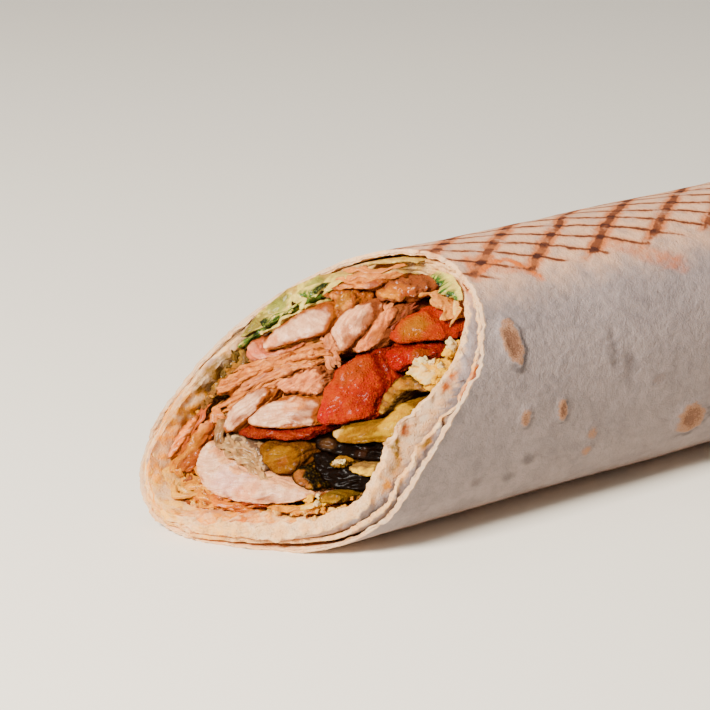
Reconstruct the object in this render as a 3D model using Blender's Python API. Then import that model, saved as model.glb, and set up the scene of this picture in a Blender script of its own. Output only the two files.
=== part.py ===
"""Meat shawarma wrap: flatbread rolled round chicken, tomato, pickles and lettuce, one end cut.

The wrap lies on its side with its length along X. Its cut end faces -X on a slant that runs
back from the lower far side to the upper near side, and its other end is folded shut. Points
of the cross-section are (y, z) in millimetres from the roll's axis, +y towards the far side.
"""
import math

import bmesh
import bpy
from mathutils import Vector, geometry, noise

MM = 0.001

# Driving sizes of the roll, in millimetres.
HALF_WIDTH = 29.8
TOP_HEIGHT = 30.5
BOTTOM_DEPTH = 28.9
FLAT_DEPTH = 28.2
LOWER_SQUARENESS = 3.0
SHEET = 1.35
SHEET_GAP = 0.35
TURNS = 3
WALL = TURNS * SHEET + (TURNS - 1) * SHEET_GAP
SEAM_ANGLE = math.radians(283)
SEAM_STEP = 0.7
INNER_TAIL = 1.9
INNER_TAIL_ANGLE = math.radians(240)
INNER_TAIL_SPREAD = math.radians(62)
SWELL = 0.35
SWELL_LENGTH = 26.0
END_X = 156.0
SHOULDER = 17.0
END_SQUARENESS = 2.6
CAVITY_END_X = 143.0

# The tucked flaps of the folded end: middle and radius of each flap's edge, and its thickness.
FLAPS = (((-34.0, 12.0), 37.0, 1.3), ((26.0, -30.0), 36.0, 1.5))
FLAP_EDGE = 2.4
POLE_DEPTH = 1.4

# The cut: x where it meets the axis, and how x changes with y and z across it.
CUT_X = -12.1
CUT_SIDE_SLOPE = -0.562
CUT_RISE_SLOPE = 0.903
CUT_SADDLE = (-0.92, 2.33)
FLARE = 0.4
RAGGED = 0.5

# The rim's layers: how far the innermost sheet stands out of the cut on the near side.
INNER_LIP = 4.2
LIP_ANGLE = math.radians(188)
LIP_SPREAD = math.radians(85)
SHEET_STAGGER = 0.25
BLUNT = (0.2, 0.1)
NOTCH = 0.6
GROOVE_DEPTH = 9.0
GROOVE_FADE = math.radians(16)
LETTUCE_POCKET = 1.1
POCKET_DEPTH = 22.0
POCKET_ANGLE = math.radians(80)
POCKET_SPREAD = math.radians(28)

# Mesh steps.
COLUMNS = 72
SIDE_ROWS = 9
END_ROWS = 11

# Fillings.
GAP = 0.36
FILLING_END_X = 141.0
EDGE_ROUND = 0.5
OUTLINE_STEP = 0.95
FACE_STEP = 1.25
DOME_REACH = 3.0
LEAF_LIP = 3.0
NOISE_SEED = Vector((3.7, 11.2, 5.9))

COLOURS = {
    "bread": ((0.80, 0.71, 0.58), 0.75),
    "chicken": ((0.72, 0.48, 0.33), 0.55),
    "roast": ((0.62, 0.27, 0.10), 0.50),
    "tomato": ((0.66, 0.07, 0.03), 0.30),
    "pickle": ((0.50, 0.36, 0.06), 0.35),
    "dark": ((0.05, 0.03, 0.01), 0.35),
    "lettuce": ((0.35, 0.45, 0.12), 0.45),
    "cheese": ((0.85, 0.66, 0.38), 0.60),
    "sauce": ((0.50, 0.33, 0.09), 0.35),
}


def cut_x(y, z):
    """x of the flat slanted cut at a point of the cross-section."""
    return CUT_X + CUT_SIDE_SLOPE * y + CUT_RISE_SLOPE * z


def rim_x(angle):
    """x of the bread's rim, which bows a little away from the flat cut."""
    y, z = HALF_WIDTH * math.cos(angle), HALF_WIDTH * math.sin(angle)
    bow = CUT_SADDLE[0] * math.cos(2 * angle) + CUT_SADDLE[1] * math.sin(2 * angle)
    ragged = RAGGED * noise.noise(Vector((3.5 * math.cos(angle), 3.5 * math.sin(angle), 0)) + NOISE_SEED)
    return cut_x(y, z) + bow + ragged


def turn_from_seam(angle):
    """Share of a turn from the outer sheet's edge, in the sense in which the sheet winds in."""
    return ((SEAM_ANGLE - angle) % math.tau) / math.tau


def section_radius(angle):
    """Distance from the axis to the roll's outside: an ellipse above, squarer below."""
    c, s = math.cos(angle), math.sin(angle)
    if s >= 0:
        radius = 1 / math.hypot(c / HALF_WIDTH, s / TOP_HEIGHT)
    else:
        n = LOWER_SQUARENESS
        radius = (abs(c / HALF_WIDTH) ** n + abs(s / BOTTOM_DEPTH) ** n) ** (-1 / n)
    return radius - SEAM_STEP * turn_from_seam(angle)


def bumps(angle, x):
    """Slight swell and hollow of the rolled sheet."""
    where = Vector((2.2 * math.cos(angle), 2.2 * math.sin(angle), x / SWELL_LENGTH)) + NOISE_SEED
    return SWELL * noise.noise(where)


def bell(angle, middle, spread):
    """1 at an angle, falling smoothly to 0 at a spread on either side of it."""
    away = abs((angle - middle + math.pi) % math.tau - math.pi)
    return 0.5 + 0.5 * math.cos(math.pi * away / spread) if away < spread else 0.0


def on_section(angle, inset, x):
    """Vertex at an inset below the roll's outside, never lower than the flat underside."""
    radius = section_radius(angle) + bumps(angle, x) - inset
    return (x, radius * math.cos(angle), max(radius * math.sin(angle), -FLAT_DEPTH))


def wall(angle):
    """Thickness of all the rolled turns, more where the sheet's inner end lies."""
    return WALL + INNER_TAIL * bell(angle, INNER_TAIL_ANGLE, INNER_TAIL_SPREAD)


def cavity_radius(angle):
    """Distance from the axis to the smooth inside of the rolled sheet."""
    return section_radius(angle) - wall(angle)


def inside_cavity(point):
    """Point of the cross-section, drawn in so that it stays clear of the bread."""
    limit = cavity_radius(math.atan2(point.y, point.x)) - GAP
    return point * min(1.0, limit / point.length)


def outer_row(angle, share):
    """Vertex of the outside, at a share of the way from the rim to the shoulder."""
    start = rim_x(angle) + SHEET / 3
    x = start + (END_X - SHOULDER - start) * share ** 1.4
    flare = FLARE * (1 - share) ** 8
    return on_section(angle, -flare if math.sin(angle) > -0.6 else 0.0, x)


def layer_edges(angle):
    """Insets and x of the rim's layers: each sheet's outer and inner edge, with V grooves.

    The grooves drift inwards round the turn as the sheet winds in, fade out at its outer edge,
    and the first one opens into a pocket for a leaf near the top, where the rest is squeezed.
    """
    opening = bell(angle, POCKET_ANGLE, POCKET_SPREAD)
    seam_fade = 1 - bell(angle, SEAM_ANGLE, GROOVE_FADE)
    drift = SHEET_GAP * (turn_from_seam(angle) - 0.5)
    pocket = LETTUCE_POCKET * opening
    squeeze = 1 - pocket / (WALL - SHEET - SHEET_GAP)
    points = []
    inset = 0.0
    for turn in range(TURNS):
        innermost = turn == TURNS - 1
        lip = INNER_LIP * bell(angle, LIP_ANGLE, LIP_SPREAD) if innermost else SHEET_STAGGER * turn
        x = rim_x(angle) - lip
        thickness = SHEET if turn == 0 else SHEET * squeeze
        thickness += wall(angle) - WALL if innermost else 0.0
        gap = SHEET_GAP + pocket if turn == 0 else SHEET_GAP * squeeze
        points.append((inset + BLUNT[0], x))
        points.append((inset + thickness - BLUNT[1], x + SHEET_STAGGER))
        if not innermost:
            depth = NOTCH + GROOVE_DEPTH * seam_fade + (POCKET_DEPTH * opening if turn == 0 else 0.0)
            points.append((inset + thickness + gap / 2, rim_x(angle) + depth))
        inset += thickness + gap
    return [(a + (drift if 0 < i < len(points) - 1 else 0.0), x) for i, (a, x) in enumerate(points)]


def folded_end(angle, share):
    """Vertex of the folded end: a squarish dome with the thickness of the tucked flaps on it."""
    turn = share * math.pi / 2
    scale = math.sin(turn) ** (2 / END_SQUARENESS)
    depth = SHOULDER * (1 - math.cos(turn) ** (2 / END_SQUARENESS))
    radius = (section_radius(angle) + bumps(angle, END_X - depth)) * scale
    y, z = radius * math.cos(angle), radius * math.sin(angle)
    raised = 0.0
    for (middle_y, middle_z), flap_radius, thickness in FLAPS:
        inside = (flap_radius - math.hypot(y - middle_y, z - middle_z)) / FLAP_EDGE
        raised += thickness * max(0.0, min(1.0, 0.5 + inside))
    full = sum(flap[2] for flap in FLAPS)
    return (END_X - depth - (full - raised) * (1 - share ** 6), y, max(z, -FLAT_DEPTH))


def bread_rows():
    """All rings of the flatbread, from the folded end over the rim to the cavity's end."""
    angles = [SEAM_ANGLE - math.tau * (i + 0.5) / COLUMNS for i in range(COLUMNS)]
    rows = [[folded_end(a, (i + 1) / (END_ROWS + 1)) for a in angles] for i in range(END_ROWS)]
    rows += [[outer_row(a, 1 - i / SIDE_ROWS) for a in angles] for i in range(SIDE_ROWS + 1)]
    edges = [layer_edges(a) for a in angles]
    for i in range(len(edges[0]) - 1):
        rows.append([on_section(a, edges[k][i][0], edges[k][i][1]) for k, a in enumerate(angles)])
    for share in (0.0, 0.12, 0.5, 1.0):
        start = [edge[-1][1] for edge in edges]
        rows.append([(x + (CAVITY_END_X - x) * share, cavity_radius(a) * math.cos(a),
                      cavity_radius(a) * math.sin(a)) for a, x in zip(angles, start)])
    return rows


def make_object(name, bm, colour):
    """New object from a closed mesh, in metres, with its own material."""
    bmesh.ops.recalc_face_normals(bm, faces=bm.faces)
    bmesh.ops.scale(bm, vec=(MM, MM, MM), verts=bm.verts)
    mesh = bpy.data.meshes.new(name)
    bm.to_mesh(mesh)
    bm.free()
    material = bpy.data.materials.new(name)
    material.use_nodes = True
    shader = material.node_tree.nodes["Principled BSDF"]
    shader.inputs["Base Color"].default_value = (*COLOURS[colour][0], 1.0)
    shader.inputs["Roughness"].default_value = COLOURS[colour][1]
    mesh.materials.append(material)
    obj = bpy.data.objects.new(name, mesh)
    bpy.context.scene.collection.objects.link(obj)
    mesh.shade_smooth()
    mesh.set_sharp_from_angle(angle=math.radians(40))
    return obj


def make_flatbread():
    """The rolled sheet: one closed body with a layered rim, a cavity and a folded end."""
    bm = bmesh.new()
    rings = [[bm.verts.new(point) for point in row] for row in bread_rows()]
    for near, far in zip(rings, rings[1:]):
        for i in range(COLUMNS):
            j = (i + 1) % COLUMNS
            bm.faces.new((near[i], near[j], far[j], far[i]))
    for ring, x in ((rings[0], END_X - POLE_DEPTH), (rings[-1], CAVITY_END_X + 1.0)):
        pole = bm.verts.new((x, 0, 0))
        for i in range(COLUMNS):
            bm.faces.new((ring[i], ring[(i + 1) % COLUMNS], pole))
    bmesh.ops.triangulate(bm, faces=bm.faces)
    return make_object("flatbread", bm, "bread")


def rounded(corners):
    """Closed outline, counter-clockwise, with blunt corners and evenly spaced points."""
    points = [Vector(corner) for corner in corners]
    for _ in range(3):
        following = points[1:] + points[:1]
        points = [p for a, b in zip(points, following) for p in (a.lerp(b, 0.25), a.lerp(b, 0.75))]
    if sum(a.cross(b) for a, b in zip(points, points[1:] + points[:1])) < 0:
        points.reverse()
    points = [inside_cavity(point) for point in points]
    sides = [(a, b, (b - a).length) for a, b in zip(points, points[1:] + points[:1])]
    count = max(8, round(sum(side[2] for side in sides) / OUTLINE_STEP))
    step = sum(side[2] for side in sides) / count
    even, walked = [], 0.0
    for a, b, length in sides:
        while len(even) < count and len(even) * step < walked + length:
            even.append(a.lerp(b, (len(even) * step - walked) / length))
        walked += length
    return even


def edge_distance(point, outline):
    """Shortest distance from a point to an outline."""
    best = math.inf
    for a, b in zip(outline, outline[1:] + outline[:1]):
        along = b - a
        share = max(0.0, min(1.0, (point - a).dot(along) / along.length_squared))
        best = min(best, (point - a - along * share).length)
    return best


def contains(outline, point):
    """True where a point lies inside an outline."""
    crossed = False
    for a, b in zip(outline, outline[1:] + outline[:1]):
        if (a.y > point.y) != (b.y > point.y):
            crossed ^= point.x < a.x + (b.x - a.x) * (point.y - a.y) / (b.y - a.y)
    return crossed


def spots_inside(outline, step, margin):
    """Staggered points inside an outline that keep a margin from it."""
    low_y, high_y = min(p.x for p in outline), max(p.x for p in outline)
    low_z, high_z = min(p.y for p in outline), max(p.y for p in outline)
    spots = []
    for row in range(int((high_z - low_z) / step) + 1):
        for column in range(int((high_y - low_y) / step) + 1):
            spot = Vector((low_y + step * (column + 0.5 * (row % 2)), low_z + step * (row + 0.5)))
            if contains(outline, spot) and edge_distance(spot, outline) > margin:
                spots.append(spot)
    return spots


def filled(outline, spots):
    """Points and triangles that fill an outline: its own points come first, then the spots."""
    given = outline + spots
    _, _, triangles, origins, _, _ = geometry.delaunay_2d_cdt(
        given, [], [list(range(len(outline)))], 1, MM)
    return given, [[origins[i][0] for i in triangle] for triangle in triangles]


def make_filling(name, colour, corners, proud=0.5, dome=1.0, slope=(0.0, 0.0), rough=0.5,
                 end_x=FILLING_END_X):
    """Piece that runs along the wrap and shows at the cut with a rounded, uneven face.

    proud is how far its face stands out of the cut, dome how much more its middle does,
    and slope tips the face across y and z about the outline's middle.
    """
    outline = rounded(corners)
    middle = sum(outline, Vector((0, 0))) / len(outline)
    points, triangles = filled(outline, spots_inside(outline, FACE_STEP, EDGE_ROUND))
    bm = bmesh.new()
    face = []
    for point in points:
        lift = proud + slope[0] * (point.x - middle.x) + slope[1] * (point.y - middle.y)
        from_edge = edge_distance(point, outline)
        if from_edge > EDGE_ROUND / 2:
            lift += EDGE_ROUND + dome * min(1.0, from_edge / DOME_REACH)
            lift += rough * noise.noise(Vector((0.45 * point.x, 0.45 * point.y, 0)) + NOISE_SEED)
        face.append(bm.verts.new((cut_x(*point) - lift, *point)))
    for triangle in triangles:
        bm.faces.new([face[i] for i in triangle])
    back = [bm.verts.new((end_x, *point)) for point in outline]
    for triangle in filled(outline, [])[1]:
        bm.faces.new([back[i] for i in triangle])
    edge = face[:len(back)]
    for i in range(len(back)):
        bm.faces.new((edge[i - 1], edge[i], back[i], back[i - 1]))
    bmesh.ops.triangulate(bm, faces=bm.faces)
    return make_object(name, bm, colour)


def make_leaf(name, path, thickness=1.1, wave=0.35, waves=3.5, proud=0.5, frill=1.2, phase=0.0,
              depth=None):
    """Leaf that runs along the wrap, or to a depth: a thin wavy sheet with two like faces."""
    spine = [Vector(p) for p in path]
    for _ in range(2):
        pairs = list(zip(spine, spine[1:]))
        spine = [spine[0]] + [p for a, b in pairs for p in (a.lerp(b, 0.25), a.lerp(b, 0.75))] + [spine[-1]]
    sides = ([], [])
    for i, point in enumerate(spine):
        ahead = spine[min(i + 1, len(spine) - 1)] - spine[max(i - 1, 0)]
        across = Vector((-ahead.y, ahead.x)).normalized()
        share = i / (len(spine) - 1)
        ripple = wave * math.sin(math.tau * waves * share + phase)
        half = thickness / 2 * (0.55 + 0.45 * math.sin(math.pi * share))
        front_x = cut_x(*point) - proud - frill * math.sin(math.tau * (waves - 1.2) * share + phase)
        end_x = FILLING_END_X if depth is None else front_x + depth
        for side, sign in zip(sides, (1, -1)):
            y, z = point + across * (ripple + sign * half)
            side.append([(x, y, z) for x in (front_x, front_x + LEAF_LIP, end_x)])
    bm = bmesh.new()
    grids = [[[bm.verts.new(p) for p in column] for column in side] for side in sides]
    last = len(spine) - 1
    for grid in grids:
        for i in range(last):
            for k in range(2):
                bm.faces.new((grid[i][k], grid[i + 1][k], grid[i + 1][k + 1], grid[i][k + 1]))
    upper, lower = grids
    for i in (0, last):
        for k in range(2):
            bm.faces.new((upper[i][k], lower[i][k], lower[i][k + 1], upper[i][k + 1]))
    for i in range(last):
        for k in (0, 2):
            bm.faces.new((upper[i][k], upper[i + 1][k], lower[i + 1][k], lower[i][k]))
    bmesh.ops.triangulate(bm, faces=bm.faces, quad_method="FIXED")
    return make_object(name, bm, "lettuce")


def make_chicken():
    """Slices and shreds of roast chicken, upper ones first."""
    make_filling("chicken_block", "chicken", ((17.3, 10.8), (16.2, 14.8), (13.4, 17.6), (10.2, 18.6),
                 (8.8, 17.6), (6.6, 14.3), (7.0, 12.9), (10.6, 11.4), (13.9, 9.3), (16.2, 8.7)),
                 proud=2.2, dome=1.0, slope=(0.0, -0.35))
    make_filling("chicken_pink", "chicken", ((21.0, 10.4), (18.0, 10.0), (16.1, 8.0), (13.9, 8.6),
                 (10.4, 10.7), (9.8, 9.9), (14.0, 7.2), (18.0, 5.3), (21.0, 6.6)), proud=0.8)
    make_filling("chicken_top", "chicken", ((12.6, 21.6), (10.0, 22.8), (4.4, 24.6), (2.2, 24.4),
                 (3.4, 22.3), (8.0, 22.0), (11.2, 21.0)), proud=1.2, dome=0.6)
    make_filling("chicken_fatty", "roast", ((13.6, 20.1), (11.6, 20.6), (8.0, 21.4), (4.8, 20.2),
                 (6.5, 15.2), (8.3, 18.0), (9.9, 19.6), (12.0, 19.5)), proud=1.0, dome=1.2)
    make_filling("chicken_pale", "chicken", ((6.2, 15.8), (4.4, 19.5), (2.2, 20.2), (0.4, 19.0),
                 (-0.8, 15.8), (0.5, 12.6), (0.9, 9.9), (2.7, 11.2), (5.4, 13.4)),
                 proud=1.8, dome=1.4, slope=(0.25, 0.0))
    make_filling("chicken_upright", "chicken", ((-0.7, 18.6), (-3.2, 20.4), (-4.9, 19.2), (-4.5, 15.6),
                 (-5.0, 12.6), (-2.7, 10.8), (-0.3, 10.2), (-0.5, 12.6), (-1.7, 15.6)), proud=1.6, dome=1.2)
    make_filling("chicken_tan", "roast", ((2.2, 21.6), (1.6, 24.2), (-2.0, 25.0), (-5.2, 24.2),
                 (-6.3, 22.4), (-4.0, 21.2), (-0.2, 20.7)), proud=1.6, dome=1.2)
    make_filling("chicken_shred_far", "chicken", ((22.6, 0.8), (19.6, 4.0), (14.0, 6.6), (9.4, 9.4),
                 (4.2, 10.4), (2.4, 9.0), (7.0, 8.2), (12.4, 5.6), (17.0, 2.2), (20.0, -2.4)),
                 proud=1.0, dome=0.8)
    make_filling("chicken_shred_mid", "chicken", ((19.4, -3.0), (16.6, 1.8), (12.2, 5.0), (6.8, 7.6),
                 (3.4, 8.4), (4.8, 7.0), (9.4, 4.6), (12.4, 2.6), (15.4, -0.4), (17.4, -4.0)),
                 proud=0.4, dome=0.8)
    make_filling("chicken_centre", "chicken", ((5.0, 6.5), (3.0, 6.2), (0.9, 3.8), (0.3, 1.4), (4.0, 1.5),
                 (9.2, 1.0), (11.2, 2.6), (8.6, 4.2)), proud=0.8, dome=0.9)
    make_filling("chicken_oblong", "chicken", ((15.0, -0.7), (11.7, 2.0), (10.3, 1.0), (10.4, -2.2),
                 (10.9, -5.2), (12.9, -8.2), (14.8, -6.8), (15.6, -3.8)), proud=1.6, dome=1.0)
    make_filling("chicken_wedge", "chicken", ((9.8, -2.4), (6.8, 0.5), (3.0, 1.0), (-0.2, 0.7),
                 (-1.3, -3.2), (-2.0, -4.4), (2.6, -5.3), (6.7, -5.7), (10.3, -5.2)),
                 proud=1.4, dome=1.2, slope=(0.25, 0.0))
    make_filling("chicken_slab", "chicken", ((16.2, -9.9), (16.2, -13.4), (13.6, -16.8), (8.8, -19.2),
                 (1.5, -19.9), (-7.0, -18.7), (-11.4, -16.4), (-8.0, -16.0), (-1.0, -14.9),
                 (5.5, -14.6), (10.8, -13.4), (14.6, -10.8)), proud=1.2, dome=1.6)
    make_filling("chicken_glazed", "roast", ((19.4, -5.4), (17.9, -6.8), (17.0, -10.0), (17.0, -13.6),
                 (15.2, -16.4), (18.0, -17.2), (20.8, -16.0), (20.8, -12.0), (20.4, -8.0)), dome=1.2)
    make_filling("chicken_edge", "chicken", ((22.0, -5.6), (21.1, -8.2), (21.4, -12.4), (21.8, -15.4),
                 (23.2, -13.6), (23.6, -10.5), (23.2, -7.0)), dome=0.8)
    make_filling("chicken_curls", "roast", ((16.8, -18.2), (14.2, -18.0), (10.6, -20.0), (6.2, -21.0),
                 (3.8, -21.8), (7.4, -23.0), (12.2, -22.6), (15.8, -20.8)), proud=-0.8, dome=1.0)


def make_vegetables():
    """Tomato, pickled cucumber, pepper and onion pieces."""
    make_filling("tomato_large", "tomato", ((0.0, 9.0), (-4.6, 11.5), (-6.0, 9.6), (-9.2, 7.4),
                 (-11.2, 5.5), (-11.4, 2.0), (-12.8, -0.8), (-9.5, -2.0), (-6.3, -3.4), (-2.5, -3.4),
                 (-0.8, 0.4), (0.3, 4.2)), proud=1.4, dome=1.8)
    make_filling("tomato_upper", "tomato", ((-5.6, 15.4), (-6.4, 19.4), (-9.6, 20.6), (-13.2, 18.8),
                 (-16.6, 16.8), (-17.2, 15.4), (-13.4, 14.6), (-9.6, 13.3), (-6.1, 13.6)),
                 proud=1.6, dome=1.8)
    make_filling("tomato_lobe", "tomato", ((-6.0, 12.9), (-9.5, 12.4), (-13.2, 13.8), (-16.0, 13.2),
                 (-17.2, 11.9), (-15.0, 11.0), (-12.8, 9.6), (-11.6, 7.6), (-9.6, 8.4), (-6.8, 10.6)),
                 proud=0.8, dome=1.4)
    make_filling("tomato_strip", "tomato", ((12.0, -8.6), (10.8, -5.9), (6.7, -6.2), (2.6, -5.8),
                 (-2.0, -4.9), (-3.8, -5.2), (-1.0, -7.4), (5.0, -8.0)), proud=1.0, dome=0.6)
    make_filling("pickle_yellow", "pickle", ((-7.0, -3.9), (-11.5, -2.4), (-15.6, -1.0), (-16.4, 3.0),
                 (-17.8, 3.4), (-20.4, 2.6), (-21.5, -1.0), (-21.6, -4.2), (-16.0, -4.8),
                 (-10.5, -6.4), (-7.6, -5.0)), proud=1.4, dome=1.2)
    make_filling("pickle_olive", "pickle", ((-11.9, 4.5), (-13.0, 7.6), (-15.5, 7.9), (-19.8, 6.3),
                 (-20.4, 5.3), (-17.8, 5.7), (-15.4, 5.0), (-14.6, -0.2), (-13.3, 0.4)), proud=1.2)
    make_filling("pickle_dark_upper", "dark", ((-4.2, -6.2), (-10.0, -7.0), (-16.0, -5.3), (-21.4, -4.9),
                 (-21.6, -8.2), (-15.0, -8.9), (-9.0, -9.2), (-2.6, -8.2)), proud=-2.0)
    make_filling("pickle_dark_lower", "dark", ((-4.8, -9.4), (-9.0, -9.9), (-9.8, -10.6), (-13.0, -11.8),
                 (-20.8, -12.0), (-20.0, -14.2), (-17.0, -14.6), (-12.4, -15.0), (-8.6, -13.2),
                 (-5.0, -10.8)), proud=-2.0)
    make_filling("pepper_golden", "pickle", ((6.4, -8.9), (0.3, -8.3), (-2.2, -8.8), (-4.0, -11.0),
                 (-3.8, -13.4), (-0.6, -14.1), (4.0, -11.6)), proud=0.4, dome=0.8)
    make_filling("pepper_tail", "pickle", ((-4.5, -11.4), (-8.2, -13.6), (-11.4, -15.4), (-8.0, -15.5),
                 (-4.3, -14.3)), dome=0.5)
    make_filling("pickle_skin", "dark", ((14.6, -8.8), (11.0, -9.2), (7.0, -9.9), (4.0, -12.1),
                 (1.0, -14.2), (6.0, -14.0), (10.5, -12.8), (14.0, -10.4)), proud=-0.6, dome=0.6)
    make_filling("onion_chip", "cheese", ((-9.9, -9.5), (-12.4, -9.4), (-12.6, -10.9), (-10.4, -10.6)),
                 proud=1.0, dome=0.6, end_x=30.0)
    make_filling("onion_strip", "cheese", ((-13.6, -9.8), (-21.2, -9.2), (-21.0, -11.5), (-14.6, -11.3)),
                 dome=0.4, end_x=60.0)
    make_filling("pepper_dice", "pickle", ((-12.2, -15.5), (-17.0, -15.1), (-17.0, -17.0), (-13.2, -17.6)),
                 proud=0.8, dome=0.6, end_x=30.0)


def make_cheese_and_sauce():
    """Soft crumbly cheese by the near wall and the sauce that has gathered by the far wall."""
    make_filling("cheese_crumble", "cheese", ((-14.0, 9.6), (-16.0, 10.7), (-19.4, 10.8), (-21.0, 9.0),
                 (-20.9, 6.6), (-17.0, 8.1), (-15.0, 8.3)), proud=2.6, dome=1.0, rough=2.2)
    make_filling("cheese_chip", "cheese", ((-17.8, 14.8), (-18.9, 14.6), (-20.0, 12.6), (-18.2, 12.0),
                 (-17.7, 13.2)), proud=1.2, dome=0.8, end_x=30.0)
    make_filling("cheese_crumbs", "cheese", ((-9.8, -18.5), (-12.3, -17.3), (-13.6, -18.3), (-10.6, -19.6)),
                 proud=1.0, dome=0.8, end_x=30.0)
    make_filling("sauce_pool", "sauce", ((23.4, 7.4), (21.4, 6.0), (20.4, 4.0), (22.6, 1.6), (22.6, -3.6),
                 (23.7, -3.4), (24.0, 2.0)), proud=-1.0, dome=0.4)


def pocket_path():
    """Route of the leaf between the bread's two outer turns, along the middle of the pocket."""
    path = []
    for i in range(5):
        angle = POCKET_ANGLE + math.radians(11) * (i / 2 - 1)
        inset = SHEET + (SHEET_GAP + LETTUCE_POCKET * bell(angle, POCKET_ANGLE, POCKET_SPREAD)) / 2
        radius = section_radius(angle) + bumps(angle, rim_x(angle)) - inset
        path.append((radius * math.cos(angle), radius * math.sin(angle)))
    return path


def make_lettuce():
    """Shredded leaves under the top of the bread, and one between its two outer turns."""
    make_leaf("lettuce_outer", ((22.5, 7.9), (21.1, 11.2), (19.3, 14.3), (17.0, 16.95), (14.3, 19.3)),
              thickness=0.8, wave=0.12, proud=1.0)
    make_leaf("lettuce_inner", ((19.8, 11.2), (18.2, 13.7), (16.3, 15.9), (14.2, 17.8)),
              thickness=0.7, wave=0.1, phase=1.0)
    make_leaf("lettuce_near", ((-7.4, 23.2), (-10.2, 22.2), (-12.6, 20.8), (-15.0, 19.0)),
              thickness=0.9, wave=0.15, proud=1.8, phase=2.0)
    make_leaf("cabbage_pocket", pocket_path(), thickness=0.45, wave=0.0, proud=-0.9, frill=0.4,
              depth=2 * LEAF_LIP)


def centre_on_floor(objects):
    """Moves every mesh alike so that the middle of the whole box's bottom is the origin."""
    corners = [v.co for obj in objects for v in obj.data.vertices]
    low = Vector(min(c[i] for c in corners) for i in range(3))
    high = Vector(max(c[i] for c in corners) for i in range(3))
    shift = Vector((-(low.x + high.x) / 2, -(low.y + high.y) / 2, -low.z))
    for obj in objects:
        for vert in obj.data.vertices:
            vert.co += shift


def main():
    for obj in list(bpy.data.objects):
        bpy.data.objects.remove(obj, do_unlink=True)
    make_flatbread()
    make_chicken()
    make_vegetables()
    make_cheese_and_sauce()
    make_lettuce()
    centre_on_floor(list(bpy.context.scene.collection.objects))


main()
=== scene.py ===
"""Looks of a meat shawarma wrap: flatbread rolled round roast chicken, tomato, pickles and leaves.

The wrap lies on a pale table with its slanted cut end towards the viewer. Shapes are worked out
in millimetres from the roll's axis, x along it and +y towards the far side, as the solids are.
"""
from __future__ import annotations

import logging
import math
from collections.abc import Callable
from dataclasses import dataclass
from enum import Enum
from typing import Any

import bmesh
import bpy
import numpy as np
from mathutils import Matrix, Vector, noise


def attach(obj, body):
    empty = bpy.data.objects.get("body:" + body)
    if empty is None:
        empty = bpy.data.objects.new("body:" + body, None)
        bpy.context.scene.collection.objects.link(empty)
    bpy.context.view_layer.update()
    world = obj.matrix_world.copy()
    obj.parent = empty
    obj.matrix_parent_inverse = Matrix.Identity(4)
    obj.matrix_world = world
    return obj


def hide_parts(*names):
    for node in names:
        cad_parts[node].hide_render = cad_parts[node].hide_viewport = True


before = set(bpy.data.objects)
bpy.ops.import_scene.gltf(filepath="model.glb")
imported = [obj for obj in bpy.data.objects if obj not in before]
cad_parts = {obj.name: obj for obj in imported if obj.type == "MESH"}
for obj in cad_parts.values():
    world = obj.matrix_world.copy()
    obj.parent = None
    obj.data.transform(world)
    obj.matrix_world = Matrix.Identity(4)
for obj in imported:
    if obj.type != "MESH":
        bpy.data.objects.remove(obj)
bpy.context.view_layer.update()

LOG = logging.getLogger("wrap")
MM = 0.001
AXIS = np.array((-54.222, 0.229, 28.2))
NOISE_FALL = 0.9
NOISE_STEP = 2.1
CHUNK = 2000
FIRST_SEED = 31.0
SEED_STEP = 3.0
Colour = tuple[float, float, float]
Array = np.ndarray
Socket = bpy.types.NodeSocket


def smooth(value: Array, low: float, high: float) -> Array:
    """0 below low, 1 above high and a soft step between; low may be the higher one."""
    share = np.clip((value - low) / (high - low), 0.0, 1.0)
    return share * share * (3 - 2 * share)


def swell(points: Array, size: float, seed: float, octaves: int = 1) -> Array:
    """Smooth noise at points.

    Args:
        points: Positions in millimetres, one in each row.
        size: How wide a swelling is.
        seed: Number that picks the pattern.
        octaves: How many finer patterns are laid over each other.

    Returns:
        One value from about -1 to 1 for each point.
    """
    away = Vector((7.13 * seed, 3.71 * seed, 5.17 * seed))
    return np.array([noise.fractal(Vector(p) / size + away, NOISE_FALL, NOISE_STEP, octaves)
                     for p in points])


def nearest(points: Array, others: Array) -> Array:
    """Distance from each point to the nearest of some others."""
    return np.concatenate([np.sqrt(((part[:, None] - others[None]) ** 2).sum(2).min(1))
                           for part in np.array_split(points, len(points) // CHUNK + 1)])


def apart(angle: Array, middle: float) -> Array:
    """How far angles lie from a middle one, from -180 to 180 degrees."""
    return (angle - middle + 180) % 360 - 180


def bell(angle: Array, middle: float, spread: float) -> Array:
    """1 at an angle in degrees, falling softly to 0 at a spread on either side of it."""
    away = np.abs(apart(angle, middle))
    return np.where(away < spread, 0.5 + 0.5 * np.cos(np.pi * np.minimum(away / spread, 1)), 0.0)


def angle_of(points: Array) -> Array:
    """Angle round the roll at points, in degrees."""
    return np.degrees(np.arctan2(points[:, 2], points[:, 1]))


def blend(share: Array, first: Array | Colour, second: Array | Colour) -> Array:
    """Colours a share of the way from the first to the second, at each point."""
    share = share[:, None]
    return np.array(first) * (1 - share) + np.array(second) * share


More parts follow.
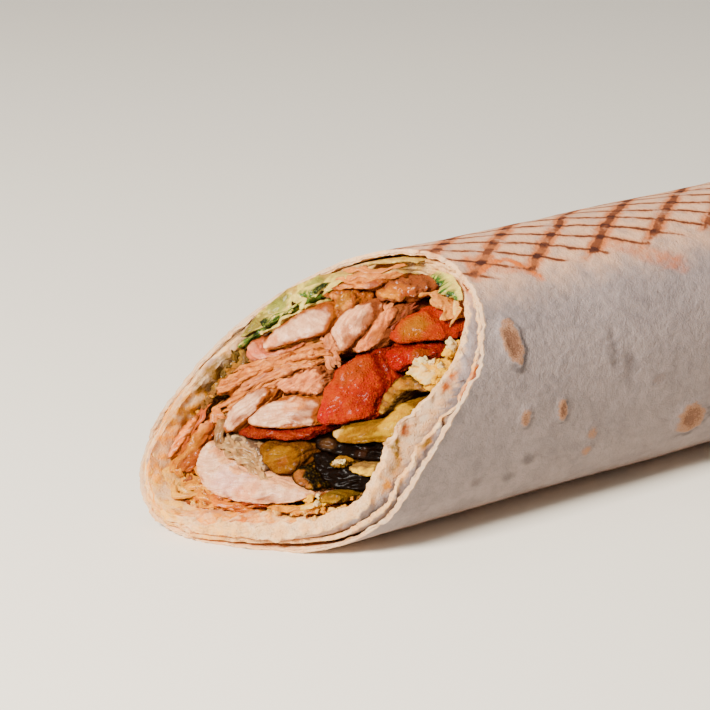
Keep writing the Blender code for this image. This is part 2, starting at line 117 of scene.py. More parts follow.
@dataclass(frozen=True)
class Roll:
    """The rolled bread's form, in millimetres and degrees."""

    half_width: float = 29.8
    top: float = 30.5
    bottom: float = 28.9
    flat: float = 28.2
    squareness: float = 3.0
    seam: float = 283.0
    seam_step: float = 0.7
    wall_depth: float = 4.75
    tail: float = 1.9
    tail_angle: float = 240.0
    tail_spread: float = 62.0
    end_x: float = 156.0
    shoulder: float = 17.0
    cavity_end: float = 143.0
    cut_start: float = -12.1
    cut_lean: tuple[float, float] = (0.562, 0.903)
    rim_bow: tuple[float, float] = (0.92, 2.33)
    bump_height: float = 0.35
    bump_round: float = 2.2
    bump_length: float = 26.0
    bump_seed: tuple[float, float, float] = (3.7, 11.2, 5.9)

    def cut_x(self, y: Array, z: Array) -> Array:
        """x of the flat slanted cut at points of the cross-section."""
        return self.cut_start - self.cut_lean[0] * y + self.cut_lean[1] * z

    def rim_x(self, angle: Array) -> Array:
        """x of the bread's rim at angles, bowed a little away from the flat cut."""
        turn = np.radians(angle)
        y, z = self.half_width * np.cos(turn), self.half_width * np.sin(turn)
        return self.cut_x(y, z) - self.rim_bow[0] * np.cos(2 * turn) + self.rim_bow[1] * np.sin(2 * turn)

    def from_seam(self, angle: Array) -> Array:
        """Share of a turn from the outer sheet's edge."""
        return ((self.seam - angle) % 360) / 360

    def radius(self, angle: Array) -> Array:
        """Distance from the axis to the roll's outside: an ellipse above, squarer below.

        Args:
            angle: Angles round the roll, in degrees.

        Returns:
            The distance at each angle, in millimetres.
        """
        turn = np.radians(angle)
        c, s = np.cos(turn), np.sin(turn)
        above = 1 / np.hypot(c / self.half_width, s / self.top)
        n = self.squareness
        below = (np.abs(c / self.half_width) ** n + np.abs(s / self.bottom) ** n) ** (-1 / n)
        return np.where(s >= 0, above, below) - self.seam_step * self.from_seam(angle)

    def wall(self, angle: Array) -> Array:
        """Thickness of all the rolled turns, more where the sheet's inner end lies."""
        return self.wall_depth + self.tail * bell(angle, self.tail_angle, self.tail_spread)

    def place(self, x: Array, angle: Array, radius: Array) -> Array:
        """Points at distances from the axis, never lower than the flat underside."""
        turn = np.radians(angle)
        return np.stack((x, radius * np.cos(turn), np.maximum(radius * np.sin(turn), -self.flat)), 1)

    def bumps(self, points: Array) -> Array:
        """Slight swell and hollow of the rolled sheet, as on its solid.

        Args:
            points: Points of the outside.

        Returns:
            How far each lies farther out, in millimetres.
        """
        turn = np.arctan2(points[:, 2], points[:, 1])
        spots = zip(self.bump_round * np.cos(turn), self.bump_round * np.sin(turn),
                    points[:, 0] / self.bump_length)
        return np.array([self.bump_height * noise.noise(Vector(s) + Vector(self.bump_seed)) for s in spots])

    def angles(self, columns: int) -> Array:
        """Angle of each of a ring's columns, the last one where the first is."""
        return self.seam - np.linspace(0.0, 360.0, columns + 1)

    def ring(self, angle: Array) -> Array:
        """Points round the roll, all at one x."""
        return self.place(angle * 0, angle, np.full_like(angle, self.half_width))

    def read(self, angle: Array, values: Array) -> Array:
        """Values of a ring's columns, read at other angles."""
        return np.interp((self.seam - angle) % 360, np.linspace(0.0, 360.0, len(values)), values)


ROLL = Roll()
SAUCE_STAIN = (0.811, 0.275, 0.009)
SMEAR_STAIN = (0.600, 0.133, 0.013)


def link_new(name: str, data: bpy.types.ID) -> bpy.types.Object:
    """A new object with some data, linked to the scene."""
    obj = bpy.data.objects.new(name, data)
    bpy.context.scene.collection.objects.link(obj)
    return obj


class Shaper:
    """Adds and shapes one mesh, first with Blender's operators and then point by point."""

    def __init__(self, obj: bpy.types.Object) -> None:
        """Keeps the object that is shaped."""
        self.obj = obj

    @classmethod
    def grid(cls, name: str, columns: int, rows: int) -> Shaper:
        """A flat grid of faces.

        Args:
            name: The new object's name.
            columns: Number of faces across.
            rows: Number of faces down.

        Returns:
            The shaper of the new object.
        """
        bpy.ops.object.select_all(action="DESELECT")
        bpy.ops.mesh.primitive_grid_add(x_subdivisions=columns, y_subdivisions=rows, size=2)
        obj = bpy.context.active_object
        obj.name = name
        return cls(obj)

    @classmethod
    def of_node(cls, name: str, node: str) -> Shaper:
        """A copy of a solid's mesh, its loose triangles joined.

        Args:
            name: The new object's name.
            node: Name of the solid.

        Returns:
            The shaper of the copy.
        """
        obj = link_new(name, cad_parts[node].data.copy())
        obj.data.materials.clear()
        shaper = cls(obj)
        shaper.edit(lambda: bpy.ops.mesh.remove_doubles(threshold=0.00002))
        return shaper

    def select(self) -> None:
        """Selects this object alone and makes it active."""
        bpy.ops.object.select_all(action="DESELECT")
        bpy.context.view_layer.objects.active = self.obj
        self.obj.select_set(True)

    def edit(self, *steps: Callable[[], Any]) -> None:
        """Runs operators in edit mode with the whole mesh selected before each.

        Args:
            *steps: What runs, in order.
        """
        self.select()
        bpy.ops.object.mode_set(mode="EDIT")
        bpy.ops.mesh.select_mode(type="VERT")
        for step in steps:
            bpy.ops.mesh.select_all(action="SELECT")
            step()
        bpy.ops.object.mode_set(mode="OBJECT")

    @property
    def raw(self) -> Array:
        """The mesh's points as Blender stores them."""
        co = np.empty(len(self.obj.data.vertices) * 3)
        self.obj.data.vertices.foreach_get("co", co)
        return co.reshape(-1, 3)

    @property
    def points(self) -> Array:
        """The mesh's points, in millimetres from the roll's axis."""
        return self.raw / MM - AXIS

    @points.setter
    def points(self, value: Array) -> None:
        """Moves the mesh's points, given in millimetres from the roll's axis."""
        self.obj.data.vertices.foreach_set("co", ((value + AXIS) * MM).ravel())
        self.obj.data.update()

    @property
    def normals(self) -> Array:
        """The outward direction at each point."""
        out = np.empty(len(self.obj.data.vertices) * 3)
        self.obj.data.vertex_normals.foreach_get("vector", out)
        return out.reshape(-1, 3)

    def roll_up(self, rows: list[Array]) -> None:
        """Lays a grid over rings of points, which each end where they start, and joins it.

        Args:
            rows: For each ring, its points; neighbouring rings have as many points.
        """
        place = (self.raw + 1) / 2
        column = np.rint(place[:, 0] * (len(rows[0]) - 1)).astype(int)
        row = np.rint(place[:, 1] * (len(rows) - 1)).astype(int)
        self.points = np.stack(rows)[row, column]

    def close(self) -> None:
        """Joins a rolled-up grid's seam and poles, and turns its faces outwards."""
        self.edit(lambda: bpy.ops.mesh.remove_doubles(threshold=0.000004),
                  lambda: bpy.ops.mesh.normals_make_consistent(inside=False))

    def mark(self, name: str, values: Array) -> None:
        """Stores a value, a vector or a colour for each point.

        Args:
            name: The name that it is stored under.
            values: One value or one row for each point.
        """
        kinds = {1: ("FLOAT", "value"), 3: ("FLOAT_VECTOR", "vector"), 4: ("FLOAT_COLOR", "color")}
        kind, key = kinds[1 if values.ndim == 1 else values.shape[1]]
        attribute = self.obj.data.attributes.new(name, kind, "POINT")
        attribute.data.foreach_set(key, np.ascontiguousarray(values, dtype=np.float32).ravel())

    def tint(self, colours: Array) -> None:
        """Stores a colour for each point."""
        self.mark("tint", np.column_stack((colours, np.ones(len(colours)))))

    def done(self, material: bpy.types.Material, slot: str, *nodes: str, sharp: float = 50.0) -> None:
        """Dresses the piece, hangs it under the root body and hides the solids that it stands for.

        Args:
            material: The piece's finish.
            slot: Not used.
            nodes: The solids that it stands for.
            sharp: Angle in degrees over which an edge stays crisp.
        """
        self.select()
        bpy.ops.object.shade_smooth_by_angle(angle=math.radians(sharp))
        self.obj.data.materials.append(material)
        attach(self.obj, "root")
        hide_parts(*nodes)
        LOG.info("%s: %d faces", self.obj.name, len(self.obj.data.polygons))


class Wiring:
    """Adds and joins shader nodes in one node tree."""

    def __init__(self, tree: bpy.types.NodeTree) -> None:
        """Keeps the tree."""
        self.tree = tree

    def put(self, socket: Socket, value: Any) -> None:
        """Joins a socket to another one, or sets it.

        Args:
            socket: The input socket.
            value: Another socket, or a number, a place or a colour.
        """
        if isinstance(value, Socket):
            self.tree.links.new(value, socket)
        elif socket.type == "RGBA":
            socket.default_value = (*value, 1.0)
        else:
            socket.default_value = value

    def fill(self, node: bpy.types.Node, inputs: dict) -> None:
        """Puts values or sockets into a node's inputs, by name or number."""
        for key, value in inputs.items():
            self.put(node.inputs[key], value)

    def add(self, kind: str, inputs: dict | None = None, **settings: Any) -> bpy.types.Node:
        """A new node.

        Args:
            kind: The node's type, without its usual start.
            inputs: Values or sockets for its inputs, by name or number.
            **settings: The node's own settings.

        Returns:
            The node.
        """
        node = self.tree.nodes.new("ShaderNode" + kind)
        for key, value in settings.items():
            setattr(node, key, value)
        self.fill(node, inputs or {})
        return node

    def math(self, operation: str, *values: Any, clamp: bool = False) -> Socket:
        """Result of a sum on numbers or sockets."""
        return self.add("Math", dict(enumerate(values)), operation=operation, use_clamp=clamp).outputs[0]

    def times(self, first: Any, second: Any, clamp: bool = False) -> Socket:
        """Product of two numbers or sockets."""
        return self.math("MULTIPLY", first, second, clamp=clamp)

    def plus(self, first: Any, second: Any, clamp: bool = False) -> Socket:
        """Sum of two numbers or sockets."""
        return self.math("ADD", first, second, clamp=clamp)

    def minus(self, first: Any, second: Any, clamp: bool = False) -> Socket:
        """What is left of the first number or socket without the second."""
        return self.math("SUBTRACT", first, second, clamp=clamp)

    def mix(self, share: Any, first: Any, second: Any, blend: str = "MIX") -> Socket:
        """Colour between two colours."""
        node = self.add("Mix", {0: share, 6: first, 7: second}, data_type="RGBA", blend_type=blend)
        return node.outputs[2]

    def step(self, value: Any, low: float, high: float) -> Socket:
        """0 where a value is at low, 1 where it is at high, and a soft step between."""
        inputs = {"Value": value, "From Min": low, "From Max": high, "To Min": 0.0, "To Max": 1.0}
        return self.add("MapRange", inputs, interpolation_type="SMOOTHSTEP").outputs[0]

    def noise(self, place: Any, size: float, detail: float = 3.0, rough: float = 0.55) -> Socket:
        """Noise from 0 to 1 whose swellings are a size across."""
        inputs = {"Vector": place, "Scale": 1 / size, "Detail": detail, "Roughness": rough}
        return self.add("TexNoise", inputs).outputs["Fac"]

    def stored(self, name: str, output: str = "Fac") -> Socket:
        """What the mesh stores under a name."""
        return self.add("Attribute", attribute_name=name).outputs[output]

    def place(self) -> Socket:
        """Place on the piece, in millimetres from the roll's axis."""
        own = self.add("TexCoord").outputs["Object"]
        scaled = self.add("VectorMath", {0: own, "Scale": 1 / MM}, operation="SCALE").outputs[0]
        return self.add("VectorMath", {0: scaled, 1: tuple(AXIS)}, operation="SUBTRACT").outputs[0]

    def group(self, tree: bpy.types.NodeTree, **inputs: Any) -> bpy.types.Node:
        """A node that stands for a shared effect.

        Args:
            tree: The effect's node group.
            **inputs: Values or sockets for its inputs.

        Returns:
            The node.
        """
        node = self.tree.nodes.new("ShaderNodeGroup")
        node.node_tree = tree
        self.fill(node, inputs)
        return node


class Effect:
    """A shared shader effect: a node group with named inputs and outputs, built once."""

    name = ""
    inputs: tuple[tuple[str, str, float | None], ...] = ()
    outputs: tuple[str, ...] = ()

    @classmethod
    def tree(cls) -> bpy.types.NodeTree:
        """Makes the effect at its first use.

        Returns:
            The effect's node group.
        """
        made = bpy.data.node_groups.get(cls.name)
        if made:
            return made
        made = bpy.data.node_groups.new(cls.name, "ShaderNodeTree")
        for name, kind, usual in cls.inputs:
            socket = made.interface.new_socket(name, in_out="INPUT", socket_type="NodeSocket" + kind)
            if usual is not None:
                socket.default_value = usual
        for name in cls.outputs:
            made.interface.new_socket(name, in_out="OUTPUT", socket_type="NodeSocketFloat")
        start, end = made.nodes.new("NodeGroupInput"), made.nodes.new("NodeGroupOutput")
        values = cls.wire(Wiring(made), {name: start.outputs[name] for name, _, _ in cls.inputs})
        for name, value in values.items():
            made.links.new(value, end.inputs[name])
        return made

    @classmethod
    def wire(cls, w: Wiring, given: dict) -> dict:
        """Joins the effect's nodes; each effect has its own."""
        raise NotImplementedError


class GrillMarks(Effect):
    """Crossed toasted bars and lines where the bread was pressed, above and below.

    The bars and the lines each have a slant in degrees, and a start, a pitch and half a width in
    millimetres. The bread is pressed between two angles, in degrees.
    """

    name = "grill_marks"
    inputs = (("Place", "Vector", None),)
    outputs = ("Core", "Halo", "Pressed")
    bars = (38.0, 49.9, 10.75, 0.85)
    lines = (-27.0, 29.5, 5.15, 0.38)
    pressed = (60.0, 119.0)

    @classmethod
    def wire(cls, w: Wiring, given: dict) -> dict:
        """Joins the effect's nodes.

        Args:
            w: Wiring of the group.
            given: Its inputs.

        Returns:
            Its outputs: the scorched core, the tanned halo and the pressed ground, from 0 to 1.
        """
        place = given["Place"]
        split = w.add("SeparateXYZ", {0: place}).outputs
        turn = w.math("ARCTAN2", w.math("ABSOLUTE", split[2]), split[1])
        arc = w.times(turn, ROLL.half_width + 0.4)
        drift = w.times(w.minus(w.noise(place, 7.0, 2.0), 0.5), 2.2)
        ragged = w.times(w.minus(w.noise(place, 1.1, 3.0), 0.5), 0.9)
        cores, halos, aways = [], [], []
        for slant, start, pitch, half in (cls.bars, cls.lines):
            lean = math.radians(slant)
            across = w.plus(w.times(split[0], math.sin(lean)), w.times(arc, math.cos(lean)))
            across = w.minus(w.plus(across, drift), start)
            away = w.plus(w.math("ABSOLUTE", w.math("WRAP", across, pitch / 2, -pitch / 2)), ragged)
            cores.append(w.step(away, half + 0.35, half - 0.35))
            halos.append(w.step(away, 2.6 * half + 0.7, half - 0.1))
            aways.append(away)
        degrees = w.math("DEGREES", turn)
        fray = w.times(w.minus(w.noise(place, 5.0, 3.0), 0.5), 18.0)
        shifted = w.plus(degrees, fray)
        low, high = cls.pressed
        press = w.times(w.step(shifted, low - 4, low + 5), w.step(shifted, high + 3, high - 5))
        patchy = w.step(w.noise(place, 4.2, 3.0), 0.3, 0.56)
        ends = w.times(w.step(split[0], 10.0, 16.0), w.step(w.plus(split[0], fray), 146.0, 134.0))
        press = w.times(press, ends)
        warm = w.times(w.step(shifted, low - 22, low + 10), w.step(shifted, high + 20, high - 8))
        joined = w.times(w.step(w.plus(split[0], fray), 34.0, 62.0), 0.4)
        solid = w.math("MAXIMUM", w.step(aways[1], 1.8, 0.5), joined)
        bars = w.times(cores[0], w.plus(w.times(solid, 0.7), 0.3))
        core = w.plus(bars, w.times(cores[1], 0.8), clamp=True)
        core = w.times(w.times(core, press), w.plus(w.times(patchy, 0.65), 0.35))
        halo = w.times(w.math("MAXIMUM", halos[0], w.times(halos[1], 0.5)), press)
        warm = w.times(w.times(warm, w.step(split[0], 160.0, 120.0)), w.plus(0.6, w.times(patchy, 0.4)))
        return {"Core": core, "Halo": w.times(halo, w.plus(patchy, 0.35), clamp=True), "Pressed": warm}


class Mottle(Effect):
    """Soft patches and fine grain together, for colour that varies as food does."""

    name = "mottle"
    inputs = (("Place", "Vector", None), ("Size", "Float", 3.0))
    outputs = ("Soft", "Fine")

    @classmethod
    def wire(cls, w: Wiring, given: dict) -> dict:
        """Joins the effect's nodes.

        Args:
            w: Wiring of the group.
            given: Its inputs.

        Returns:
            Its outputs: soft patches and fine grain, from 0 to 1.
        """
        over = w.math("DIVIDE", 1.0, given["Size"])
        scaled = w.add("VectorMath", {0: given["Place"], "Scale": over}, operation="SCALE").outputs[0]
        return {"Soft": w.step(w.noise(scaled, 1.0, 3.0), 0.3, 0.7),
                "Fine": w.step(w.noise(scaled, 0.18, 3.0, 0.65), 0.3, 0.7)}


class Pores(Effect):
    """Small round holes of many sizes, as in baked dough or moist flesh."""

    name = "pores"
    inputs = (("Place", "Vector", None), ("Size", "Float", 1.0))
    outputs = ("Depth",)

    @classmethod
    def wire(cls, w: Wiring, given: dict) -> dict:
        """Joins the effect's nodes.

        Args:
            w: Wiring of the group.
            given: Its inputs.

        Returns:
            Its output: 0 between the pores and 1 in the middle of each.
        """
        place = given["Place"]
        shift = w.add("TexNoise", {"Vector": place, "Scale": 0.9, "Detail": 2.0}).outputs["Color"]
        bent = w.add("VectorMath", {0: place, 1: shift}, operation="ADD").outputs[0]
        over = w.math("DIVIDE", 1.0, given["Size"])
        cells = w.add("TexVoronoi", {"Vector": bent, "Scale": over, "Randomness": 1.0})
        keep = w.step(w.noise(place, 2.3, 2.0), 0.42, 0.58)
        return {"Depth": w.times(w.step(cells.outputs["Distance"], 0.42, 0.12), keep)}


def new_material(name: str) -> tuple[bpy.types.Material, Wiring, bpy.types.Node]:
    """An empty material.

    Args:
        name: Its name.

    Returns:
        The material, the wiring of its nodes and its main shader.
    """
    material = bpy.data.materials.new(name)
    material.use_nodes = True
    return material, Wiring(material.node_tree), material.node_tree.nodes["Principled BSDF"]


@dataclass(frozen=True)
class BreadFinish:
    """Thin floury flatbread: pale and dull outside, toasted in marks, with a moist open crumb."""

    pale: Colour = (0.345, 0.270, 0.252)
    grey: Colour = (0.200, 0.161, 0.158)
    pressed: Colour = (0.899, 0.493, 0.258)
    crumb: Colour = (0.861, 0.593, 0.320)
    crumb_shade: Colour = (0.935, 0.449, 0.118)
    tan: Colour = (0.383, 0.193, 0.106)
    brown: Colour = (0.197, 0.085, 0.044)
    scorched: Colour = (0.054, 0.011, 0.004)
    singed: Colour = (0.193, 0.050, 0.014)
    amber: Colour = (0.526, 0.124, 0.016)
    # colour of the dull marks, and of the painted shadow beside the blisters
    dull: Colour = (0.088, 0.070, 0.071)

    def material(self) -> bpy.types.Material:
        """Makes the finish at its first use.

        Returns:
            The finish's material.
        """
        made = bpy.data.materials.get("flatbread_baked")
        if made:
            return made
        made, w, shader = new_material("flatbread_baked")
        place = w.place()
        broad = w.group(Mottle.tree(), Place=place, Size=9.0).outputs
        close = w.group(Mottle.tree(), Place=place, Size=2.2).outputs
        pores = w.group(Pores.tree(), Place=place, Size=0.85).outputs[0]
        marks = w.group(GrillMarks.tree(), Place=place).outputs
        toast, crumb, dull = w.stored("toast"), w.stored("crumb"), w.stored("dull")
        veins = w.step(w.math("ABSOLUTE", w.minus(w.noise(place, 6.0, 4.0, 0.6), 0.5)), 0.05, 0.0)
        tone = w.plus(w.times(broad[0], 0.45), w.times(close[0], 0.35), clamp=True)
        tone = w.plus(w.times(tone, 0.8), w.times(veins, 0.2), clamp=True)
        colour = w.mix(tone, self.pale, self.grey)
        # dull marks, and the painted shadow beside each blister
        colour = w.mix(w.times(dull, 0.85), colour, self.dull)
        colour = w.mix(w.times(marks[2], 0.7), colour, self.pressed)
        inside = w.mix(w.times(close[0], 0.7), self.crumb, self.crumb_shade)
        inside = w.mix(w.times(pores, 0.22), inside, self.tan)
        colour = w.mix(crumb, colour, inside)
        stained = w.times(w.stored("stain", "Alpha"), w.plus(0.55, close[0]), clamp=True)
        colour = w.mix(stained, colour, w.stored("stain", "Color"))
        speck = w.times(toast, w.plus(0.55, w.times(close[1], 0.7)), clamp=True)
        colour = w.mix(w.step(speck, 0.05, 0.5), colour, self.tan)
        colour = w.mix(w.step(speck, 0.45, 1.0), colour, self.brown)
        outer = w.minus(1.0, crumb, clamp=True)
        colour = w.mix(w.times(w.times(marks[1], 0.85), outer), colour, self.amber)
        core = w.times(marks[0], outer)
        colour = w.mix(w.step(core, 0.0, 0.5), colour, self.singed)
        colour = w.mix(w.step(core, 0.4, 1.0), colour, self.scorched)
        rough = w.minus(w.minus(0.84, w.times(stained, 0.35)), w.times(close[1], 0.1))
        height = w.plus(w.times(close[0], 0.5), w.times(close[1], 0.22))
        height = w.minus(height, w.times(pores, w.plus(0.12, w.times(crumb, 0.5))))
        height = w.minus(height, w.times(marks[1], 0.5))
        bump = w.add("Bump", {"Height": height, "Strength": 0.8, "Distance": 0.00035}).outputs[0]
        w.fill(shader, {"Base Color": colour, "Roughness": rough, "Specular IOR Level": 0.3,
                        "Subsurface Weight": 0.12, "Subsurface Radius": (1.0, 0.5, 0.3),
                        "Subsurface Scale": 0.0012, "Normal": bump})
        return made


@dataclass(frozen=True)
class FoodFinish:
    """A filling's finish: its stored colours, varied in patches, with strands, pores and juice."""

    name: str
    vary: float = 0.25
    patch: float = 2.0
    strands: float = 0.3
    pores: float = 0.0
    dry: float = 0.55
    wet: float = 0.3
    juice: float = 0.2
    glow: float = 0.2
    bump: float = 0.0003
    fleck: Colour = (0.109, 0.023, 0.007)
    flecks: float = 0.0
    shine: float = 0.12
    pulp: float = 0.0

    def material(self) -> bpy.types.Material:
        """Makes the finish at its first use.

        Returns:
            The finish's material.
        """
        made = bpy.data.materials.get(self.name)
        if made:
            return made
        made, w, shader = new_material(self.name)
        place = w.place()
        mottle = w.group(Mottle.tree(), Place=place, Size=self.patch).outputs
        grain = w.noise(w.stored("grain", "Vector"), 0.42, 3.0, 0.6)
        pores = w.group(Pores.tree(), Place=place, Size=0.9).outputs[0]
        tint = w.stored("tint", "Color")
        deeper = w.mix(1.0, tint, (1 - self.vary, 1 - 1.6 * self.vary, 1 - 1.9 * self.vary), "MULTIPLY")
        more = 1 + 0.4 * self.vary
        lighter = w.mix(1.0, tint, (1 + 0.3 * self.vary, more, more), "MULTIPLY")
        colour = w.mix(mottle[0], deeper, lighter)
        # darker along the grain's low fibres: partly their own colour, partly painted shade in the grooves
        groove = w.times(w.step(grain, 0.52, 0.36), self.strands, clamp=True)
        colour = w.mix(groove, colour, deeper)
        colour = w.mix(w.times(w.step(mottle[1], 0.72, 0.95), self.flecks), colour, self.fleck)
        cells = w.add("TexVoronoi", {"Vector": place, "Scale": 1.7, "Randomness": 1.0}).outputs["Distance"]
        pulp = w.times(w.step(cells, 0.5, 0.1), self.pulp)
        colour = w.mix(w.times(w.step(cells, 0.4, 0.62), self.pulp), colour, deeper)
        colour = w.mix(w.times(pulp, w.plus(0.2, mottle[0])), colour, self.fleck)
        rough = w.add("MapRange", {"Value": mottle[0], "To Min": self.wet, "To Max": self.dry}).outputs[0]
        height = w.plus(w.times(grain, self.strands), w.times(mottle[1], 0.3))
        height = w.minus(height, w.times(pores, self.pores))
        height = w.plus(height, w.times(w.noise(place, 0.14, 2.0), 0.3))
        height = w.plus(height, pulp)
        bump = w.add("Bump", {"Height": height, "Strength": 0.9, "Distance": self.bump}).outputs[0]
        w.fill(shader, {"Base Color": colour, "Roughness": rough, "Specular IOR Level": self.shine,
                        "Coat Weight": self.juice, "Coat Roughness": 0.14, "Subsurface Weight": self.glow,
                        "Subsurface Radius": (1.0, 0.5, 0.25), "Subsurface Scale": 0.0008, "Normal": bump})
        return made


TAB_SIDE = (186.0, 44.0)
TAB_REACH = 3.6


def torn_tab(angle: Array, tear: tuple[float, float] = (171.0, 178.0)) -> Array:
    """How far the outer sheets stand out of the cut on the near side, below a small tear.

    Args:
        angle: Angles round the roll, in degrees.
        tear: Where the tear begins and ends, in degrees.

    Returns:
        The length by which the sheet stands out, in millimetres.
    """
    turn = angle % 360
    return TAB_REACH * bell(turn, *TAB_SIDE) * smooth(turn, *tear)


@dataclass(frozen=True)
class Spot:
    """A toasted blister or dull mark on the outside of the bread, in millimetres and degrees."""

    x: float
    angle: float
    half_length: float
    half_arc: float
    rise: float = 0.3
    toast: float = 1.0
    dull: float = 0.0


@dataclass(frozen=True)
class Smear:
    """A streak of sauce on the outside, between two places given by x and an angle."""

    start: tuple[float, float]
    end: tuple[float, float]
    half: float
    strength: float

    def amount(self, across: Array, streak: Array) -> Array:
        """How much sauce there is at places.

        Args:
            across: Each place's x and its way round the roll, in millimetres.
            streak: How much farther from the streak each place counts.

        Returns:
            The amount at each place, from 0 to 1.
        """
        start, end = (np.array((x, math.radians(angle) * ROLL.half_width))
                      for x, angle in (self.start, self.end))
        along = end - start
        share = np.clip((across - start) @ along / (along @ along), 0.0, 1.0)
        away = np.linalg.norm(across - start - share[:, None] * along, axis=1) / self.half
        return self.strength * smooth(away + streak, 1.7, 0.3)


@dataclass(frozen=True)
class Flap:
    """A tucked flap of the folded end: a round edge about a place on the cross-section."""

    y: float
    z: float
    radius: float
    thickness: float


@dataclass
class Skin:
    """The sheet's outer turn: the whole outside, its cut edge and the folded far end."""

    columns: int = 520
    end_rows: int = 46
    side_rows: int = 130
    crowding: float = 1.35
    pole_rows: int = 12
    flare: float = 0.4
    end_squareness: float = 2.6
    flaps: tuple[Flap, ...] = (Flap(-34.0, 12.0, 37.0, 1.3), Flap(26.0, -30.0, 36.0, 1.5))
    flap_edge: float = 0.6
    tear: tuple[float, float] = (160.0, 161.8)
    layers: tuple[tuple[float, float], ...] = (
        (0.1, 0.1), (0.24, 0.0), (0.4, 0.04), (0.5, 0.8), (0.6, 0.16), (0.76, 0.08), (0.95, 0.4))
    layer_split: float = 0.5
    inner_backs: tuple[float, ...] = (1.0, 2.0, 3.5, 5.5, 8.5, 12.0)
    spots: tuple[Spot, ...] = (
        Spot(21.6, 149.9, 2.6, 4.9, 0.5, 1.3), Spot(33.4, 184.1, 1.2, 2.6, 0.35, 1.4),
        Spot(22.9, 183.5, 1.4, 2.3, 0.3, 0.8), Spot(42.7, 198.5, 1.6, 1.8, 0.3, 0.5, 0.4),
        Spot(41.8, 206.6, 1.5, 1.6, 0.3, 0.5, 0.4), Spot(73.1, 204.5, 4.2, 3.4, 0.4, 1.2),
        Spot(24.6, 203.0, 2.0, 1.6, 0.1, 0.0, 0.8), Spot(19.8, 209.5, 2.4, 1.4, 0.1, 0.0, 0.7),
        Spot(10.6, 207.6, 2.0, 1.3, 0.1, 0.1, 0.6), Spot(53.6, 170.6, 1.6, 3.2, -0.3, 0.1, 0.6),
        Spot(49.6, 161.9, 0.8, 4.5, -0.35, 0.0, 0.5), Spot(62.0, 182.0, 3.0, 2.0, 0.2, 0.15, 0.3),
        Spot(96.0, 160.0, 3.4, 3.0, 0.4, 0.7), Spot(118.0, 190.0, 2.4, 3.6, 0.35, 0.8),
        Spot(36.0, 20.0, 2.6, 3.6, 0.4, 0.8), Spot(70.0, 352.0, 3.0, 2.6, 0.4, 0.7),
        Spot(104.0, 24.0, 2.2, 4.0, 0.4, 0.8), Spot(128.0, 338.0, 3.6, 2.6, 0.3, 0.6))
    smears: tuple[Smear, ...] = (
        Smear((20.6, 116.4), (25.2, 112.0), 0.9, 0.95), Smear((25.2, 112.0), (28.8, 109.6), 0.9, 0.95),
        Smear((28.8, 109.6), (31.8, 110.2), 0.8, 0.9), Smear((31.8, 110.2), (34.6, 117.0), 0.8, 0.9),
        Smear((34.6, 117.0), (36.6, 124.0), 0.9, 0.8), Smear((26.0, 114.0), (36.0, 119.0), 1.4, 0.4),
        Smear((60.0, 114.0), (75.0, 132.0), 2.2, 0.4), Smear((23.4, 103.0), (20.6, 117.0), 1.2, 0.6))

    def edge_x(self) -> Array:
        """x of the torn cut edge at each column."""
        angle = ROLL.angles(self.columns)
        round_rim = ROLL.ring(angle)
        ragged = 0.5 * swell(round_rim, 6.0, 1.0, 2) + 0.55 * swell(round_rim, 1.5, 2.0, 3)
        return ROLL.rim_x(angle) + ragged - torn_tab(angle, self.tear)

    def marks_at(self, points: Array) -> tuple[Array, Array, Array]:
        """Blisters, dull marks and the painted shadow beside each blister, at points of the outside.

        Args:
            points: Points of the outside.

        Returns:
            The rise in millimetres, the toast, and the dullness with the painted shadow, from 0 to 1.
        """
        rise, toast, dull = (np.zeros(len(points)) for _ in range(3))
        angle = angle_of(points)
        wobble = 0.3 * swell(points, 2.0, 5.0, 2)
        for spot in self.spots:
            along = (points[:, 0] - spot.x) / spot.half_length
            arc = np.radians(apart(angle, spot.angle)) * ROLL.half_width / spot.half_arc
            away = np.hypot(along, arc) + wobble
            rise += spot.rise * (smooth(away, 1.5, 0.9) - 0.5 * smooth(away, 0.8, 0.2))
            core = 0.4 + 0.6 * smooth(away, 0.9, 0.35)
            toast = np.maximum(toast, spot.toast * smooth(away, 1.15, 0.9) * core)
            # painted shadow: a dark crescent along one side of each blister's rim, then joined with the
            # spot's dull mark
            shaded = smooth(away, 1.1, 1.25) * smooth(away, 1.55, 1.35) * smooth(along + arc, 0.0, 0.9)
            shaded = np.maximum(spot.dull * smooth(away, 1.3, 0.3), 0.7 * spot.toast * shaded)
            dull = np.maximum(dull, shaded)
        return rise, toast, dull

    def folded_row(self, share: float) -> Array:
        """One ring of the folded end, a squarish dome with the tucked flaps lying on it.

        Args:
            share: Where the ring lies, from 0 at the pole to 1 at the roll's straight side.

        Returns:
            The ring's points.
        """
        angle = ROLL.angles(self.columns)
        turn = share * math.pi / 2
        scale = math.sin(turn) ** (2 / self.end_squareness)
        depth = ROLL.shoulder * (1 - math.cos(turn) ** (2 / self.end_squareness))
        ring = ROLL.place(np.full_like(angle, ROLL.end_x - depth), angle, ROLL.radius(angle))
        radius = (ROLL.radius(angle) + ROLL.bumps(ring)) * scale
        around = np.radians(angle)
        y, z = radius * np.cos(around), radius * np.sin(around)
        raised = np.zeros(len(angle))
        wave = 0.8 * swell(np.stack((y, z, y * 0), 1), 9.0, 6.0)
        for flap in self.flaps:
            inside = (flap.radius - np.hypot(y - flap.y, z - flap.z) + wave) / self.flap_edge
            raised += flap.thickness * np.clip(0.5 + inside, 0, 1)
        full = sum(flap.thickness for flap in self.flaps)
        crease = np.stack((y * 0.5, z * 0.5, np.full_like(y, 4.0)), 1)
        pleats = 0.5 * share * (1 - share) * np.sin(around * 9 + 2.0 * share)
        pleats = pleats + 0.35 * swell(crease, 2.6, 14.0, 3) * min(1.0, 3 * (1 - share))
        x = ROLL.end_x - depth - (full - raised) * (1 - share ** 6) + pleats
        return np.stack((x, y, np.maximum(z, -ROLL.flat)), 1)

